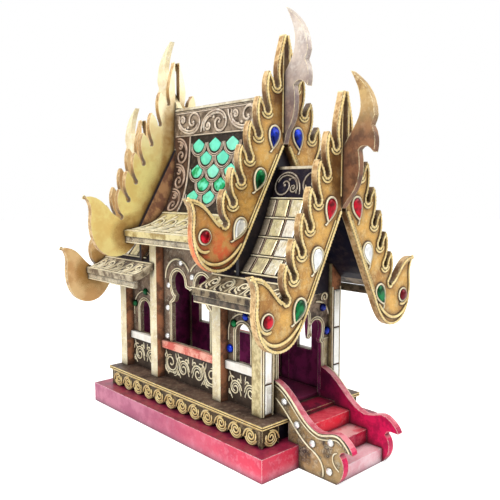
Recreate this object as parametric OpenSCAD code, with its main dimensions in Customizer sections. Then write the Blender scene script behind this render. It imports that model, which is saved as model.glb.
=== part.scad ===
// Tabletop spirit house in carved wood: a stepped base, an arcaded hall,
// a tall middle roof over two lower ones, and flame-edged gable boards.
// X runs across the house, Y from the stairs to the back, Z up. The origin is
// the middle of the base on the ground. Lengths are in millimetres.

/* [Base] */
// Margin of the red base board around the plinth top
base_margin = 12.6; // [8:0.2:15]
// Thickness of the red base board
base_t = 20.6; // [12:0.2:26]
// Width of the plinth top board
plinth_w = 132; // [124:1:136]
// Length of the plinth top board
plinth_l = 248; // [246:1:256]
// Thickness of the plinth top board
plinth_top_t = 3.6; // [2.4:0.2:6]
// Height of the scalloped apron under the plinth top
apron_h = 16.6; // [12:0.2:24]
// Thickness of the apron boards
apron_t = 4; // [3:0.5:6]
// Distance of the apron face behind the plinth edge
apron_set = 2; // [1:0.5:4]
// Number of scallops along the side of the plinth
side_scallops = 12; // [6:1:16]

/* [Hall] */
// Outside width of the hall over the posts
hall_w = 105; // [98:1:112]
// Side of a square post
post_w = 12; // [9:0.5:14]
// Side of a square front corner post
corner_post_w = 13.5; // [10:0.5:16]
// Distance of the front posts behind the plinth edge
porch_depth = 14; // [10:1:18]
// Distance of the rear posts ahead of the plinth edge
rear_depth = 3; // [1:0.5:6]
// Length of the open middle bay between its posts
middle_bay = 91; // [84:1:100]
// Distance of the middle bay's centre behind the centre of the base
middle_shift = 3.5; // [0:0.5:6]
// Thickness of the wall boards
wall_t = 4; // [3:0.5:6]
// Distance of the wall boards behind the outer face of the posts
wall_set = 9.5; // [6:0.5:11]
// Height of the end walls under the gable panels
end_wall_h = 100; // [92:1:104]
// Thickness of the floor board
floor_t = 3; // [2:0.5:5]
// Height of the window sills above the plinth
sill_h = 32; // [24:1:38]
// Height of a sill strip
sill_t = 7.5; // [5:0.5:10]
// How far a sill stands out of the wall
sill_out = 4; // [2:0.5:6]

/* [Openings] */
// Width of a small arched window
window_w = 19; // [14:1:22]
// Height of a small arched window above its sill
window_h = 36.5; // [28:0.5:42]
// Width of the open middle arcade
arcade_w = 62; // [52:1:66]
// Height of the middle arcade's side cusps above the sill
arcade_spring = 50; // [42:1:54]
// Rise of the middle arcade's two lobes above the cusps
arcade_rise = 25; // [20:1:28]
// How far the middle arcade's cusps stand into it
arcade_cusp = 7; // [4:0.5:9]
// Width of the front doorway
door_w = 58; // [50:1:62]
// Height of the doorway's side cusps above the floor
door_spring = 56; // [46:1:60]
// Rise of the doorway's middle lobe above the cusps
door_rise = 33; // [26:1:36]
// How far the doorway's cusps stand into it
door_cusp = 3; // [2:0.5:5]

/* [Roofs] */
// Height of the top of the middle roof above the plinth
main_ridge_h = 282; // [272:1:290]
// Height of the middle roof's eaves above the plinth
main_eave_h = 154; // [148:1:160]
// Half width of the middle roof at the eaves
main_eave_x = 71; // [66:1:76]
// Half length of the middle roof between its gable boards
main_half_l = 80; // [74:1:86]
// Height of the top of the lower roofs above the plinth
low_ridge_h = 216; // [208:1:222]
// Height of the lower roofs' eaves above the plinth
low_eave_h = 109; // [104:1:114]
// Half width of the lower roofs at the eaves
low_eave_x = 79; // [74:1:84]
// Half length of the lower roofs between their gable boards
low_half_l = 148; // [142:1:154]
// Thickness of the roof boards
roof_t = 5; // [3:0.5:6]
// Height of an eave fascia
fascia_h = 12; // [8:1:14]
// Thickness of an eave fascia
fascia_t = 4; // [3:0.5:6]
// Width of a ridge cap
cap_w = 7; // [6:0.5:10]
// Thickness of the raised panels on the roofs
relief_t = 1; // [0.6:0.1:1.4]
// Height of the raised frieze under the middle roof's ridge
frieze_h = 28; // [22:1:34]
// Width of the raised strips at both ends of the middle roof
strip_w = 30; // [26:1:36]
// Width of the raised panels along the middle roof's eaves
main_panel_w = 47; // [40:1:50]
// Width of the raised panels along the lower roofs' eaves
low_panel_w = 25; // [18:1:26]

/* [Gable boards] */
// Thickness of the flame-edged gable boards
board_t = 6; // [4:0.5:8]
// Depth of the opening's tip below the lower roof's ridge
low_tip_drop = 32; // [26:1:38]
// Depth of the opening's tip below the middle roof's ridge
main_tip_drop = 41; // [34:1:46]
// How far a lower gable board reaches past the eave
low_board_reach = 28.5; // [20:0.5:34]
// How far a middle gable board reaches past the eave
main_board_reach = 43; // [34:0.5:48]
// Number of short flames below the tall one
flames = 6; // [4:1:6]
// Each distance between two notches against the one before
flame_ratio = 0.95; // [0.9:0.01:1]
// Thickness of the bird-head finials between the boards
finial_t = 6; // [4:0.5:8]
// Height of a lower finial above the tip of its gable opening
low_finial_h = 110; // [96:1:116]
// Height of a middle finial above the tip of its gable opening
main_finial_h = 118; // [104:1:122]
// How far a middle finial is set back over the ridge
main_finial_set = 5.5; // [0:0.5:7]
// How far the middle roof's end panels stand above the tips of its gable openings
backing_h = 9; // [6:0.5:12]

/* [Stairs] */
// Clear width between the stair cheeks
stair_w = 56; // [48:1:60]
// Thickness of a stair cheek
cheek_t = 6.6; // [5:0.2:8]
// Depth of a tread
tread = 19.5; // [17:0.5:20]
// Depth of the top tread, over the edge of the base board
top_tread = 18; // [16:0.5:19]
// Height of the top of the cheeks above the plinth
cheek_rise = 30; // [24:1:36]

/* [Hidden] */

RED_LACQUER = "#9c1c2c";
OLD_GOLD = "#a9803c";
PALE_GOLD = "#cdb777";
DARK_LACQUER = "#2a2230";
BRONZE = "#7d6f58";
CREAM = "#d8cfae";

// Gap left where a piece is cut to fit another
seat = 0.2;
curve_steps = 16;

base_w = plinth_w + 2 * base_margin;
base_l = plinth_l + 2 * base_margin;
plinth_z = base_t + apron_h + plinth_top_t;
core_x = plinth_w / 2 - apron_set - apron_t;
core_y = plinth_l / 2 - apron_set - apron_t;
wall_x = hall_w / 2 - wall_set;
post_x = hall_w / 2 - post_w;
corner_x = hall_w / 2 - corner_post_w;
front_y = -plinth_l / 2 + porch_depth;
back_y = plinth_l / 2 - rear_depth;
middle_y0 = middle_shift - middle_bay / 2;
middle_y1 = middle_shift + middle_bay / 2;
front_wall_y = front_y + wall_t;
rear_wall_y = back_y - wall_t / 2;
sill_z = plinth_z + sill_h + sill_t;
gable_z = plinth_z + end_wall_h;
main_ridge_z = plinth_z + main_ridge_h;
main_eave_z = plinth_z + main_eave_h;
low_ridge_z = plinth_z + low_ridge_h;
cap_t = roof_t / 2;
low_eave_z = plinth_z + low_eave_h;
low_tip_z = low_ridge_z - low_tip_drop;
main_tip_z = main_ridge_z - main_tip_drop;
// Ends of the lower roofs under the middle roof
low_roof_y0 = middle_y0 - wall_t;
low_roof_y1 = middle_y1 + wall_t;
// A height and a width past every piece, for cutting shapes
far = 2 * main_ridge_z;

// Concave roof curves, from the ridge down to the eave
main_curve = [
    [0.04 * main_eave_x, main_ridge_z],
    [0.07 * main_eave_x, main_ridge_z - 0.84 * (main_ridge_z - main_eave_z)],
    [0.28 * main_eave_x, main_eave_z + roof_t],
    [main_eave_x, main_eave_z]
];
low_curve = [
    [0.04 * low_eave_x, low_ridge_z],
    [0.15 * low_eave_x, low_ridge_z - 0.24 * (low_ridge_z - low_eave_z)],
    [0.44 * low_eave_x, low_eave_z + 0.8 * roof_t],
    [low_eave_x, low_eave_z]
];

// Curves: p holds the four control points of a cubic, t runs from 0 to 1

function cubic(p, t) = pow(1 - t, 3) * p[0] + 3 * pow(1 - t, 2) * t * p[1]
    + 3 * (1 - t) * pow(t, 2) * p[2] + pow(t, 3) * p[3];

function heading(p, t) = pow(1 - t, 2) * (p[1] - p[0])
    + 2 * (1 - t) * t * (p[2] - p[1]) + pow(t, 2) * (p[3] - p[2]);

function curve(p, n = curve_steps) = [for (i = [0:n]) cubic(p, i / n)];

// A cubic without its first point, to carry an outline on
function onward(p, n) = [for (i = [1:n]) cubic(p, i / n)];

// The curve at a depth d below a roof curve, square to it
function under(p, d) = [
    for (i = [0:curve_steps])
        let(t = i / curve_steps, h = heading(p, t)) cubic(p, t) + d * [h[1], -h[0]] / norm(h)
];

// The height at which a line of points crosses the middle plane
function at_middle(l) = [
    for (i = [0:len(l) - 2])
        if (l[i][0] <= 0 && l[i + 1][0] > 0)
            l[i][1] - (l[i + 1][1] - l[i][1]) * l[i][0] / (l[i + 1][0] - l[i][0])
][0];

// The underside of a roof slope at depth d, from the middle plane outward
function underside(p, d) = let(l = under(p, d))
    concat([[0, at_middle(l)]], [for (q = l) if (q[0] > 0) q]);

function arc(c, r, a0, a1, n) = [for (i = [0:n]) let(a = a0 + (a1 - a0) * i / n) c + r * [cos(a), sin(a)]];

function backwards(l) = [for (i = [len(l) - 1:-1:0]) l[i]];

// An outline drawn for the left, carried on by its mirror image
function both_sides(l) = concat(l, backwards([for (q = l) if (q[0] < 0) [-q[0], q[1]]]));

function times(u, l) = [for (q = l) u * q];

// Stands an outline drawn in X and Z upright, from y0 to y1
module upright(y0, y1) {
    translate([0, y1, 0]) rotate([90, 0, 0]) linear_extrude(y1 - y0) children();
}

// Stands an outline drawn in Y and Z upright, from x0 to x1
module sideways(x0, x1) {
    translate([x0, 0, 0]) rotate([90, 0, 90]) linear_extrude(x1 - x0) children();
}

module block(lo, hi) {
    translate(lo) cube(hi - lo);
}

module on_left() {
    mirror([1, 0, 0]) children();
}

module at_rear() {
    mirror([0, 1, 0]) children();
}

// Everything above the underside of a roof on the side where x is positive
module over_roof(p) {
    polygon(concat(
        [[-far, far], [-far, underside(p, roof_t + seat)[0][1]]],
        underside(p, roof_t + seat),
        [[far, p[3][1] - roof_t - seat], [far, far]]
    ));
}

// Base and plinth

module base_board() {
    color(RED_LACQUER)
        block([-base_w / 2, -base_l / 2, 0], [base_w / 2, base_l / 2, base_t]);
}

module plinth_core() {
    color(DARK_LACQUER)
        block([-core_x, -core_y, base_t], [core_x, core_y, base_t + apron_h]);
}

module plinth_top() {
    color(OLD_GOLD)
        block([-plinth_w / 2, -plinth_l / 2, base_t + apron_h], [plinth_w / 2, plinth_l / 2, plinth_z]);
}

scallop_pitch = 2 * core_y / side_scallops;

// An apron outline with a row of round drops between two pointed half drops
module apron_outline(length, count) {
    drop = apron_h / 3;
    pitch = length / count;
    translate([0, drop]) square([length, apron_h - drop]);
    intersection() {
        square([length, apron_h]);
        union() {
            for (i = [0:count - 1])
                translate([(i + 0.5) * pitch, drop])
                    scale([0.46 * pitch / drop, 1]) circle(drop - seat, $fn = 24);
            for (x = [0, length])
                translate([x, drop]) polygon([[-drop, 0], [0, -drop], [drop, 0]]);
        }
    }
}

module apron_sides() {
    color(PALE_GOLD)
        for (s = [0, 1]) mirror([s, 0, 0])
            sideways(core_x, core_x + apron_t)
                translate([-core_y, base_t]) apron_outline(2 * core_y, side_scallops);
}

module apron_ends() {
    color(PALE_GOLD) {
        for (s = [0, 1]) mirror([s, 0, 0])
            upright(-core_y - apron_t, -core_y)
                translate([core_x + apron_t - scallop_pitch, base_t]) apron_outline(scallop_pitch, 1);
        upright(core_y, core_y + apron_t)
            translate([-core_x - apron_t, base_t])
                apron_outline(2 * (core_x + apron_t), round(side_scallops / 2));
    }
}

// Hall

module floor_board() {
    color(RED_LACQUER)
        block([seat - corner_x, front_wall_y + wall_t, plinth_z],
              [corner_x - seat, rear_wall_y - wall_t, plinth_z + floor_t]);
}

module post(x0, y0, width, roof) {
    difference() {
        block([x0, y0, plinth_z], [hall_w / 2, y0 + width, main_ridge_z]);
        upright(y0 - 1, y0 + width + 1) over_roof(roof);
    }
}

// Corner posts stop under the lower roofs, the middle ones under the middle roof
module side_posts() {
    post(corner_x, front_y, corner_post_w, low_curve);
    post(post_x, middle_y0 - post_w, post_w, main_curve);
    post(post_x, middle_y1, post_w, main_curve);
    post(post_x, back_y - post_w, post_w, low_curve);
}

module posts_left() {
    color(CREAM) on_left() side_posts();
}

module posts_right() {
    color(CREAM) side_posts();
}

// A round-headed opening standing on the origin
module arch(width, height) {
    r = width / 2;
    translate([-r, 0]) square([width, height - r]);
    translate([0, height - r]) circle(r, $fn = 48);
}

// The left jamb of a cusped opening, its cusp, and the round lobe above it
function jamb_and_lobe(half, spring, cusp, r, top) = concat(
    [[-half, 0]],
    [for (a = [0:15:90]) [-half + cusp * sin(a), spring - 1.2 * cusp * cos(a)]],
    onward([[cusp - half, spring], [0.4 * cusp - half, spring + 1],
            [-half, top - 1.6 * r], [-half, top - r]], 4),
    [for (a = [165:-15:0]) [-half + r, top - r] + r * [cos(a), sin(a)]]
);

// The two-lobed arcade of a middle bay, with a pendant between its lobes
module arcade() {
    half = arcade_w / 2;
    r = 0.36 * half;
    top = arcade_spring + arcade_rise;
    polygon(both_sides(concat(
        jamb_and_lobe(half, arcade_spring, arcade_cusp, r, top),
        onward([[2 * r - half, top - r], [2 * r - half, arcade_spring + arcade_cusp],
                [-0.1 * half, arcade_spring + 1.4 * arcade_cusp], [0, arcade_spring + arcade_cusp]], 5)
    )));
}

// The three-lobed front doorway
module doorway() {
    half = door_w / 2;
    r = 0.28 * half;
    middle_r = 0.33 * half;
    top = door_spring + door_rise;
    side_top = door_spring + 0.6 * door_rise;
    pendant_x = (2 * r - half - middle_r) / 2;
    polygon(both_sides(concat(
        jamb_and_lobe(half, door_spring, door_cusp, r, side_top),
        onward([[2 * r - half, side_top - r], [2 * r - half, door_spring + 1.5 * door_cusp],
                [pendant_x, door_spring + 2 * door_cusp], [pendant_x, door_spring + door_cusp]], 4),
        onward([[pendant_x, door_spring + door_cusp], [pendant_x, door_spring + 2 * door_cusp],
                [-middle_r, door_spring + 2 * door_cusp], [-middle_r, top - middle_r]], 4),
        [for (a = [165:-15:90]) [0, top - middle_r] + middle_r * [cos(a), sin(a)]]
    )));
}

// A side wall board between two posts, cut to its roof, with one opening
module side_panel(y0, y1, roof) {
    difference() {
        block([wall_x - wall_t, y0, plinth_z], [wall_x, y1, main_ridge_z]);
        upright(y0 - 1, y1 + 1) over_roof(roof);
        sideways(wall_x - wall_t - 1, wall_x + 1)
            translate([(y0 + y1) / 2, sill_z]) children();
    }
}

module front_bay() {
    side_panel(front_y + corner_post_w, middle_y0 - post_w, low_curve) arch(window_w, window_h);
}

module middle_wall() {
    side_panel(middle_y0, middle_y1, main_curve) arcade();
}

module rear_bay() {
    side_panel(middle_y1 + post_w, back_y - post_w, low_curve) arch(window_w, window_h);
}

module left_front_wall() {
    color(OLD_GOLD) on_left() front_bay();
}

module right_front_wall() {
    color(OLD_GOLD) front_bay();
}

module left_middle_wall() {
    color(OLD_GOLD) on_left() middle_wall();
}

module right_middle_wall() {
    color(OLD_GOLD) middle_wall();
}

module left_rear_wall() {
    color(OLD_GOLD) on_left() rear_bay();
}

module right_rear_wall() {
    color(OLD_GOLD) rear_bay();
}

module front_wall() {
    color(OLD_GOLD)
        difference() {
            block([-corner_x, front_wall_y, plinth_z], [corner_x, front_wall_y + wall_t, gable_z]);
            upright(front_wall_y - 1, front_wall_y + wall_t + 1) translate([0, plinth_z]) doorway();
        }
}

module rear_wall() {
    color(OLD_GOLD)
        difference() {
            block([-post_x, rear_wall_y - wall_t, plinth_z], [post_x, rear_wall_y, gable_z]);
            upright(rear_wall_y - wall_t - 1, rear_wall_y + 1)
                translate([0, sill_z]) arch(window_w, window_h);
        }
}

// Sill strips under the openings of both sides and the back
module sills() {
    color(CREAM) {
        for (s = [0, 1]) mirror([s, 0, 0])
            for (bay = [[front_y + corner_post_w, middle_y0 - post_w],
                        [middle_y0, middle_y1],
                        [middle_y1 + post_w, back_y - post_w]])
                block([wall_x, bay[0], sill_z - sill_t], [wall_x + sill_out, bay[1], sill_z]);
        block([-post_x, rear_wall_y, sill_z - sill_t], [post_x, rear_wall_y + sill_out, sill_z]);
    }
}

// Panels above the end walls, cut to the underside of the lower roofs
module end_gables() {
    color(DARK_LACQUER)
        for (y = [front_wall_y, rear_wall_y - wall_t], s = [0, 1]) mirror([s, 0, 0])
            upright(y, y + wall_t)
                difference() {
                    translate([0, gable_z]) square([corner_x, main_ridge_z]);
                    over_roof(low_curve);
                }
}

// Half of an end panel of the middle roof, with a clearance round it. It is
// straight above, so that it backs the gable boards over the hollow of the roof
module backing(clear) {
    polygon([[0, low_eave_z], [0, main_tip_z + backing_h + 2 * clear],
             [hall_w / 2 + clear, main_eave_z + roof_t + clear], [hall_w / 2 + clear, low_eave_z]]);
}

// Panels that close the middle roof's ends down to the lower roofs
module upper_gables() {
    color(DARK_LACQUER)
        for (r = [0, 1], s = [0, 1]) mirror([0, r, 0]) mirror([s, 0, 0])
            upright(-main_half_l, wall_t - main_half_l)
                difference() {
                    backing(0);
                    translate([0, seat])
                        polygon(concat([[-far, -far], [-far, low_ridge_z]], curve(low_curve),
                                       [[far, low_eave_z], [far, -far]]));
                }
}

// Roofs

module roof_slope(p, y0, y1) {
    upright(y0, y1)
        polygon(concat([[0, p[0][1]]], curve(p), backwards(underside(p, roof_t))));
}

// A raised layer over a roof slope, rooted in it
module relief(p, y0, y1) {
    upright(y0, y1) polygon(concat(under(p, -relief_t), backwards(under(p, relief_t))));
}

// A lower roof slope with a raised eave, notched round the tall middle post
module low_slope(y0, y1, post_y) {
    difference() {
        union() {
            roof_slope(low_curve, y0, y1);
            intersection() {
                relief(low_curve, y0, y1);
                block([low_eave_x - low_panel_w, y0, 0], [far, y1, far]);
            }
        }
        block([post_x - seat, post_y - seat, 0], [hall_w / 2 + seat, post_y + post_w + seat, main_ridge_z]);
    }
}

// A middle roof slope, cut for its end panels, with a raised frieze, end strips
// and eave round the field of tiles
module main_slope() {
    difference() {
        union() {
            roof_slope(main_curve, -main_half_l, main_half_l);
            difference() {
                relief(main_curve, -main_half_l, main_half_l);
                block([0, strip_w - main_half_l, main_eave_z],
                      [main_eave_x - main_panel_w, main_half_l - strip_w, main_ridge_z - frieze_h]);
                block([0, -main_half_l, main_ridge_z - relief_t], [cap_w, main_half_l, main_ridge_z + cap_t]);
            }
        }
        for (r = [0, 1]) mirror([0, r, 0])
            upright(-main_half_l - 1, wall_t + seat - main_half_l) backing(seat);
    }
}

module front_slope() {
    low_slope(-low_half_l, low_roof_y0, middle_y0 - post_w);
}

module rear_slope() {
    low_slope(low_roof_y1, low_half_l, middle_y1);
}

module front_roof_left() {
    color(BRONZE) on_left() front_slope();
}

module front_roof_right() {
    color(BRONZE) front_slope();
}

module rear_roof_left() {
    color(BRONZE) on_left() rear_slope();
}

module rear_roof_right() {
    color(BRONZE) rear_slope();
}

module main_roof_left() {
    color(BRONZE) on_left() main_slope();
}

module main_roof_right() {
    color(BRONZE) main_slope();
}

module ridge_caps() {
    cap_x = cap_w / 2;
    color(CREAM) {
        block([-cap_x, -main_half_l, main_ridge_z], [cap_x, main_half_l, main_ridge_z + cap_t]);
        for (r = [0, 1]) mirror([0, r, 0])
            block([-cap_x, -low_half_l, low_ridge_z], [cap_x, -main_half_l, low_ridge_z + cap_t]);
    }
}

module fascia(p, y0, y1) {
    x1 = p[3][0] - fascia_t / 2;
    z1 = p[3][1] - roof_t;
    block([x1 - fascia_t, y0, z1 - fascia_h + roof_t], [x1, y1, z1]);
}

module eave_fascias() {
    color(BRONZE)
        for (s = [0, 1]) mirror([s, 0, 0]) {
            fascia(low_curve, -low_half_l, low_roof_y0);
            fascia(main_curve, -main_half_l, main_half_l);
            fascia(low_curve, low_roof_y1, low_half_l);
        }
}

// Flame-edged gable boards: an outline for the side where x is positive, from
// the tip of the opening at height 0, drawn for a reach of 107.5 and a roof
// 107 high and then fitted to each roof

notch_r = 2.6;
first_notch = [11.5, 47];
down_slope = [0.43, -0.903];
notches = [
    for (k = [0:flames])
        first_notch + down_slope * (flame_ratio == 1 ? 25.5 * k : 25.5 * (1 - pow(flame_ratio, k)) / (1 - flame_ratio))
];

// A short flame between notches a and b: the round of notch a, the inner edge
// up to the tip, and the long outer edge down to notch b
function flame(a, b) = let(tip = a + [9, 14]) concat(
    arc(a + [0, notch_r], notch_r, 180, 330, 5),
    curve([a + [2.6, 3.4], a + [3.4, 8], tip - [2.6, 4], tip], 5),
    onward([tip, tip + [5, -8], tip + [4, -22], b + [-notch_r, notch_r + 1.5]], 7)
);

// The tall flame, the short ones, the upturned head with its crest and throat,
// and the smooth inner edge back up to the tip
function board_points(x0) = let(last = notches[flames]) concat(
    [[x0, 95]],
    onward([[x0, 95], [8, 76], [13, 66], first_notch + [-notch_r, notch_r + 1.5]], 9),
    [for (k = [0:flames - 1]) each flame(notches[k], notches[k + 1])],
    arc(last + [0, notch_r], notch_r, 180, 300, 4),
    curve([last + [2, 2], [84, -68], [88, -48], [107.5, -50.5]], 9),
    onward([[107.5, -50.5], [100, -58], [101.5, -66], [102.5, -76]], 5),
    onward([[102.5, -76], [103, -98], [92, -113], [76, -113]], 9),
    onward([[76, -113], [62, -113], [54, -103], [46, -87]], 7),
    onward([[46, -87], [34, -64], [16, -30], [x0, -1.7 * x0]], 7)
);

module gable_board(y0, tip_z, reach, height) {
    u = reach / 107.5;
    upright(y0, y0 + board_t)
        translate([0, tip_z]) scale([u, height]) polygon(board_points(finial_t / 2 / u));
}

module low_board() {
    gable_board(-low_half_l - board_t, low_tip_z,
                low_eave_x + low_board_reach, (low_ridge_z - low_eave_z) / 107);
}

module main_board() {
    gable_board(-main_half_l - board_t, main_tip_z,
                main_eave_x + main_board_reach, (main_ridge_z - main_eave_z) / 128);
}

module front_board_left() {
    color(OLD_GOLD) on_left() low_board();
}

module front_board_right() {
    color(OLD_GOLD) low_board();
}

module rear_board_left() {
    color(OLD_GOLD) at_rear() on_left() low_board();
}

module rear_board_right() {
    color(OLD_GOLD) at_rear() low_board();
}

module upper_front_board_left() {
    color(OLD_GOLD) on_left() main_board();
}

module upper_front_board_right() {
    color(OLD_GOLD) main_board();
}

module upper_rear_board_left() {
    color(OLD_GOLD) at_rear() on_left() main_board();
}

module upper_rear_board_right() {
    color(OLD_GOLD) at_rear() main_board();
}

// Bird-head finials: a root held between the two boards, a breast, a hooked
// beak, and a long crest, drawn outward from the face of the boards for a
// height of 110 and then fitted. Above the height over_h it is set back
function finial_points(u, back, over_h) = concat(
    [[-board_t, -2 * u], [-board_t, over_h], [-board_t - back, over_h]],
    [for (q = concat(
        onward([[-6, 42], [0, 49], [8, 59], [13.5, 68]], 6),
        onward([[13.5, 68], [20, 78], [19, 92], [7, 110]], 8),
        onward([[7, 110], [18, 102], [30, 92], [31.2, 73]], 8),
        onward([[31.2, 73], [30.5, 68], [28, 66], [28.4, 64.8]], 3),
        onward([[28.4, 64.8], [33, 58], [33, 50], [31.2, 43.6]], 5),
        onward([[31.2, 43.6], [26, 50], [20, 51], [16, 46]], 5),
        onward([[16, 46], [19, 32], [18, 18], [8.6, 8.3]], 6)
    )) if (q[0] > 0 || u * q[1] > over_h) u * q - [back, 0]],
    onward([[8.6 * u - back, 8.3 * u], [6 * u - 0.7 * back, 6 * u], [3 * u - 0.35 * back, 2 * u], [0, -2 * u]], 3)
);

module finial(half_l, tip_z, height, back, over_h) {
    translate([0, -half_l - board_t, tip_z])
        sideways(-finial_t / 2, finial_t / 2)
            mirror([1, 0]) polygon(finial_points(height / 110, back, max(over_h, 0.38 * height)));
}

// Height of the middle ridge cap's top above the tip of the gable opening
over_ridge_h = main_tip_drop + cap_t + seat;

module front_finial() {
    color(OLD_GOLD) finial(low_half_l, low_tip_z, low_finial_h, 0, 0);
}

module rear_finial() {
    color(OLD_GOLD) at_rear() finial(low_half_l, low_tip_z, low_finial_h, 0, 0);
}

module upper_front_finial() {
    color(OLD_GOLD) finial(main_half_l, main_tip_z, main_finial_h, main_finial_set, over_ridge_h);
}

module upper_rear_finial() {
    color(OLD_GOLD) at_rear() finial(main_half_l, main_tip_z, main_finial_h, main_finial_set, over_ridge_h);
}

// Stairs

base_front = -base_l / 2;
plinth_front = -plinth_l / 2;
riser = (base_t + apron_h) / 3;
upper_nose = plinth_front - top_tread;
middle_nose = upper_nose - tread;
lower_nose = middle_nose - 0.85 * tread;
step_x = stair_w / 2 - seat;

module step_lower() {
    color(RED_LACQUER)
        block([-step_x, lower_nose, 0], [step_x, base_front, riser]);
}

// The middle step sits on the lower one and on the edge of the base board
module step_middle() {
    color(RED_LACQUER)
        sideways(-step_x, step_x)
            polygon([
                [middle_nose, riser], [base_front, riser], [base_front, base_t],
                [plinth_front, base_t], [plinth_front, 2 * riser], [middle_nose, 2 * riser]
            ]);
}

module step_upper() {
    color(RED_LACQUER)
        block([-step_x, upper_nose, 2 * riser], [step_x, plinth_front, 3 * riser]);
}

// A stair cheek: an S curve down from the front wall, over a hump, to a beaked
// scroll that stands on the ground
dip = [middle_nose + 0.15 * tread, plinth_z - 0.15 * tread];
brow = [lower_nose - 0.41 * tread, plinth_z - 0.1 * tread];
beak = [lower_nose - 0.82 * tread, 0.72 * plinth_z];
throat = [lower_nose - 0.13 * tread, 0.62 * plinth_z];
cheek_points = concat(
    [[front_wall_y, plinth_z]],
    curve([[front_wall_y, plinth_z + cheek_rise], [plinth_front - 0.2 * tread, plinth_z + 0.85 * cheek_rise],
           [upper_nose + 0.2 * tread, plinth_z], dip], 10),
    onward([dip, dip - [0.6 * tread, 0], [lower_nose + 0.1 * tread, plinth_z + 0.3 * tread], brow], 6),
    onward([brow, brow - [0.2, 0.15] * tread, beak + [0.05, 0.2] * tread, beak], 4),
    onward([beak, beak + [0.3 * tread, 0], throat + [-0.1, 0.3] * tread, throat], 4),
    onward([throat, [lower_nose - 0.46 * tread, 0.5 * plinth_z],
            [lower_nose - 0.46 * tread, 0.2 * plinth_z], [lower_nose, 0]], 7),
    [[base_front, 0], [base_front, base_t], [plinth_front, base_t], [plinth_front, plinth_z]]
);

module cheek() {
    sideways(stair_w / 2, stair_w / 2 + cheek_t) polygon(cheek_points);
}

module cheek_left() {
    color(OLD_GOLD) on_left() cheek();
}

module cheek_right() {
    color(OLD_GOLD) cheek();
}

base_board();
plinth_core();
plinth_top();
apron_sides();
apron_ends();
floor_board();
posts_left();
posts_right();
front_wall();
rear_wall();
left_front_wall();
left_middle_wall();
left_rear_wall();
right_front_wall();
right_middle_wall();
right_rear_wall();
sills();
end_gables();
upper_gables();
front_roof_left();
front_roof_right();
rear_roof_left();
rear_roof_right();
main_roof_left();
main_roof_right();
ridge_caps();
eave_fascias();
front_board_left();
front_board_right();
rear_board_left();
rear_board_right();
upper_front_board_left();
upper_front_board_right();
upper_rear_board_left();
upper_rear_board_right();
front_finial();
rear_finial();
upper_front_finial();
upper_rear_finial();
cheek_left();
cheek_right();
step_lower();
step_middle();
step_upper();
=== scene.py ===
"""Looks of a tabletop spirit house: gilt boards, glass inlay, cord piping and lacquer.

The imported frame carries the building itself, with the raised panels of its roofs. This
file lays what a maker adds to the carved wood: raised cord and scrolls, cabochons, beads,
glass tiles and the painted finishes. Lengths are in millimetres until a mesh is made,
and heights are above the ground.
"""

import logging
import math
import random
from collections.abc import Callable, Sequence
from dataclasses import dataclass, field
from enum import Enum

import bpy
from mathutils import Matrix, Vector


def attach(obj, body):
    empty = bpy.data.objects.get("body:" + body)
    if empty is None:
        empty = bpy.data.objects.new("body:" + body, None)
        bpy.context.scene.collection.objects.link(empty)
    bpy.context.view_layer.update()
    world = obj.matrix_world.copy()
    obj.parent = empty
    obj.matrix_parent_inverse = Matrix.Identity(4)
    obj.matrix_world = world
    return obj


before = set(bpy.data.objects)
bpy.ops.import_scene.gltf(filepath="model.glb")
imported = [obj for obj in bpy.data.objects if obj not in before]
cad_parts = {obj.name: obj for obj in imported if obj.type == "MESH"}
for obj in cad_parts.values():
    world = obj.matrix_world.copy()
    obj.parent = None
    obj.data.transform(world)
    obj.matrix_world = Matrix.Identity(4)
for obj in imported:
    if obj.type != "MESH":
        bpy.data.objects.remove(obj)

LOG = logging.getLogger("spirit_house")
MM = 0.001
PROFILE_STEPS = 60
SMOOTH_ANGLE = 38
RIB_RADII = (0.76, 1.12)
END_TAPER = 0.7
Point = tuple[float, float]
Line = list[Point]
Colour = tuple[float, float, float]
Stroke = list[Vector]


class Side(Enum):
    """The two long sides of the house."""

    LEFT = -1
    RIGHT = 1


class End(Enum):
    """The two ends of the house."""

    FRONT = -1
    REAR = 1


class Glass(Enum):
    """Colours of the glass inlay, as linear base colours."""

    GREEN = (0.001, 0.17, 0.045)
    BLUE = (0.002, 0.030, 0.46)
    RED = (0.56, 0.002, 0.018)
    CLEAR = (0.86, 0.87, 0.86)
    TEAL = (0.17, 0.83, 0.58)


# Curves and strokes


def cubic(p: Sequence[Point], t: float) -> Point:
    """Return the point of a cubic curve with control points p at t from 0 to 1."""
    a, b, c, d = (1 - t) ** 3, 3 * (1 - t) ** 2 * t, 3 * (1 - t) * t * t, t**3
    return (
        a * p[0][0] + b * p[1][0] + c * p[2][0] + d * p[3][0],
        a * p[0][1] + b * p[1][1] + c * p[2][1] + d * p[3][1],
    )


def curve(p: Sequence[Point], n: int = 12) -> list[Point]:
    """Return n + 1 points along a cubic curve."""
    return [cubic(p, i / n) for i in range(n + 1)]


def arc(cx: float, cy: float, r: float, a0: float, a1: float, n: int = 12) -> list[Point]:
    """Return n + 1 points on the arc about (cx, cy) from angle a0 to a1, in degrees."""
    turn = [math.radians(a0 + (a1 - a0) * i / n) for i in range(n + 1)]
    return [(cx + r * math.cos(a), cy + r * math.sin(a)) for a in turn]


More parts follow.
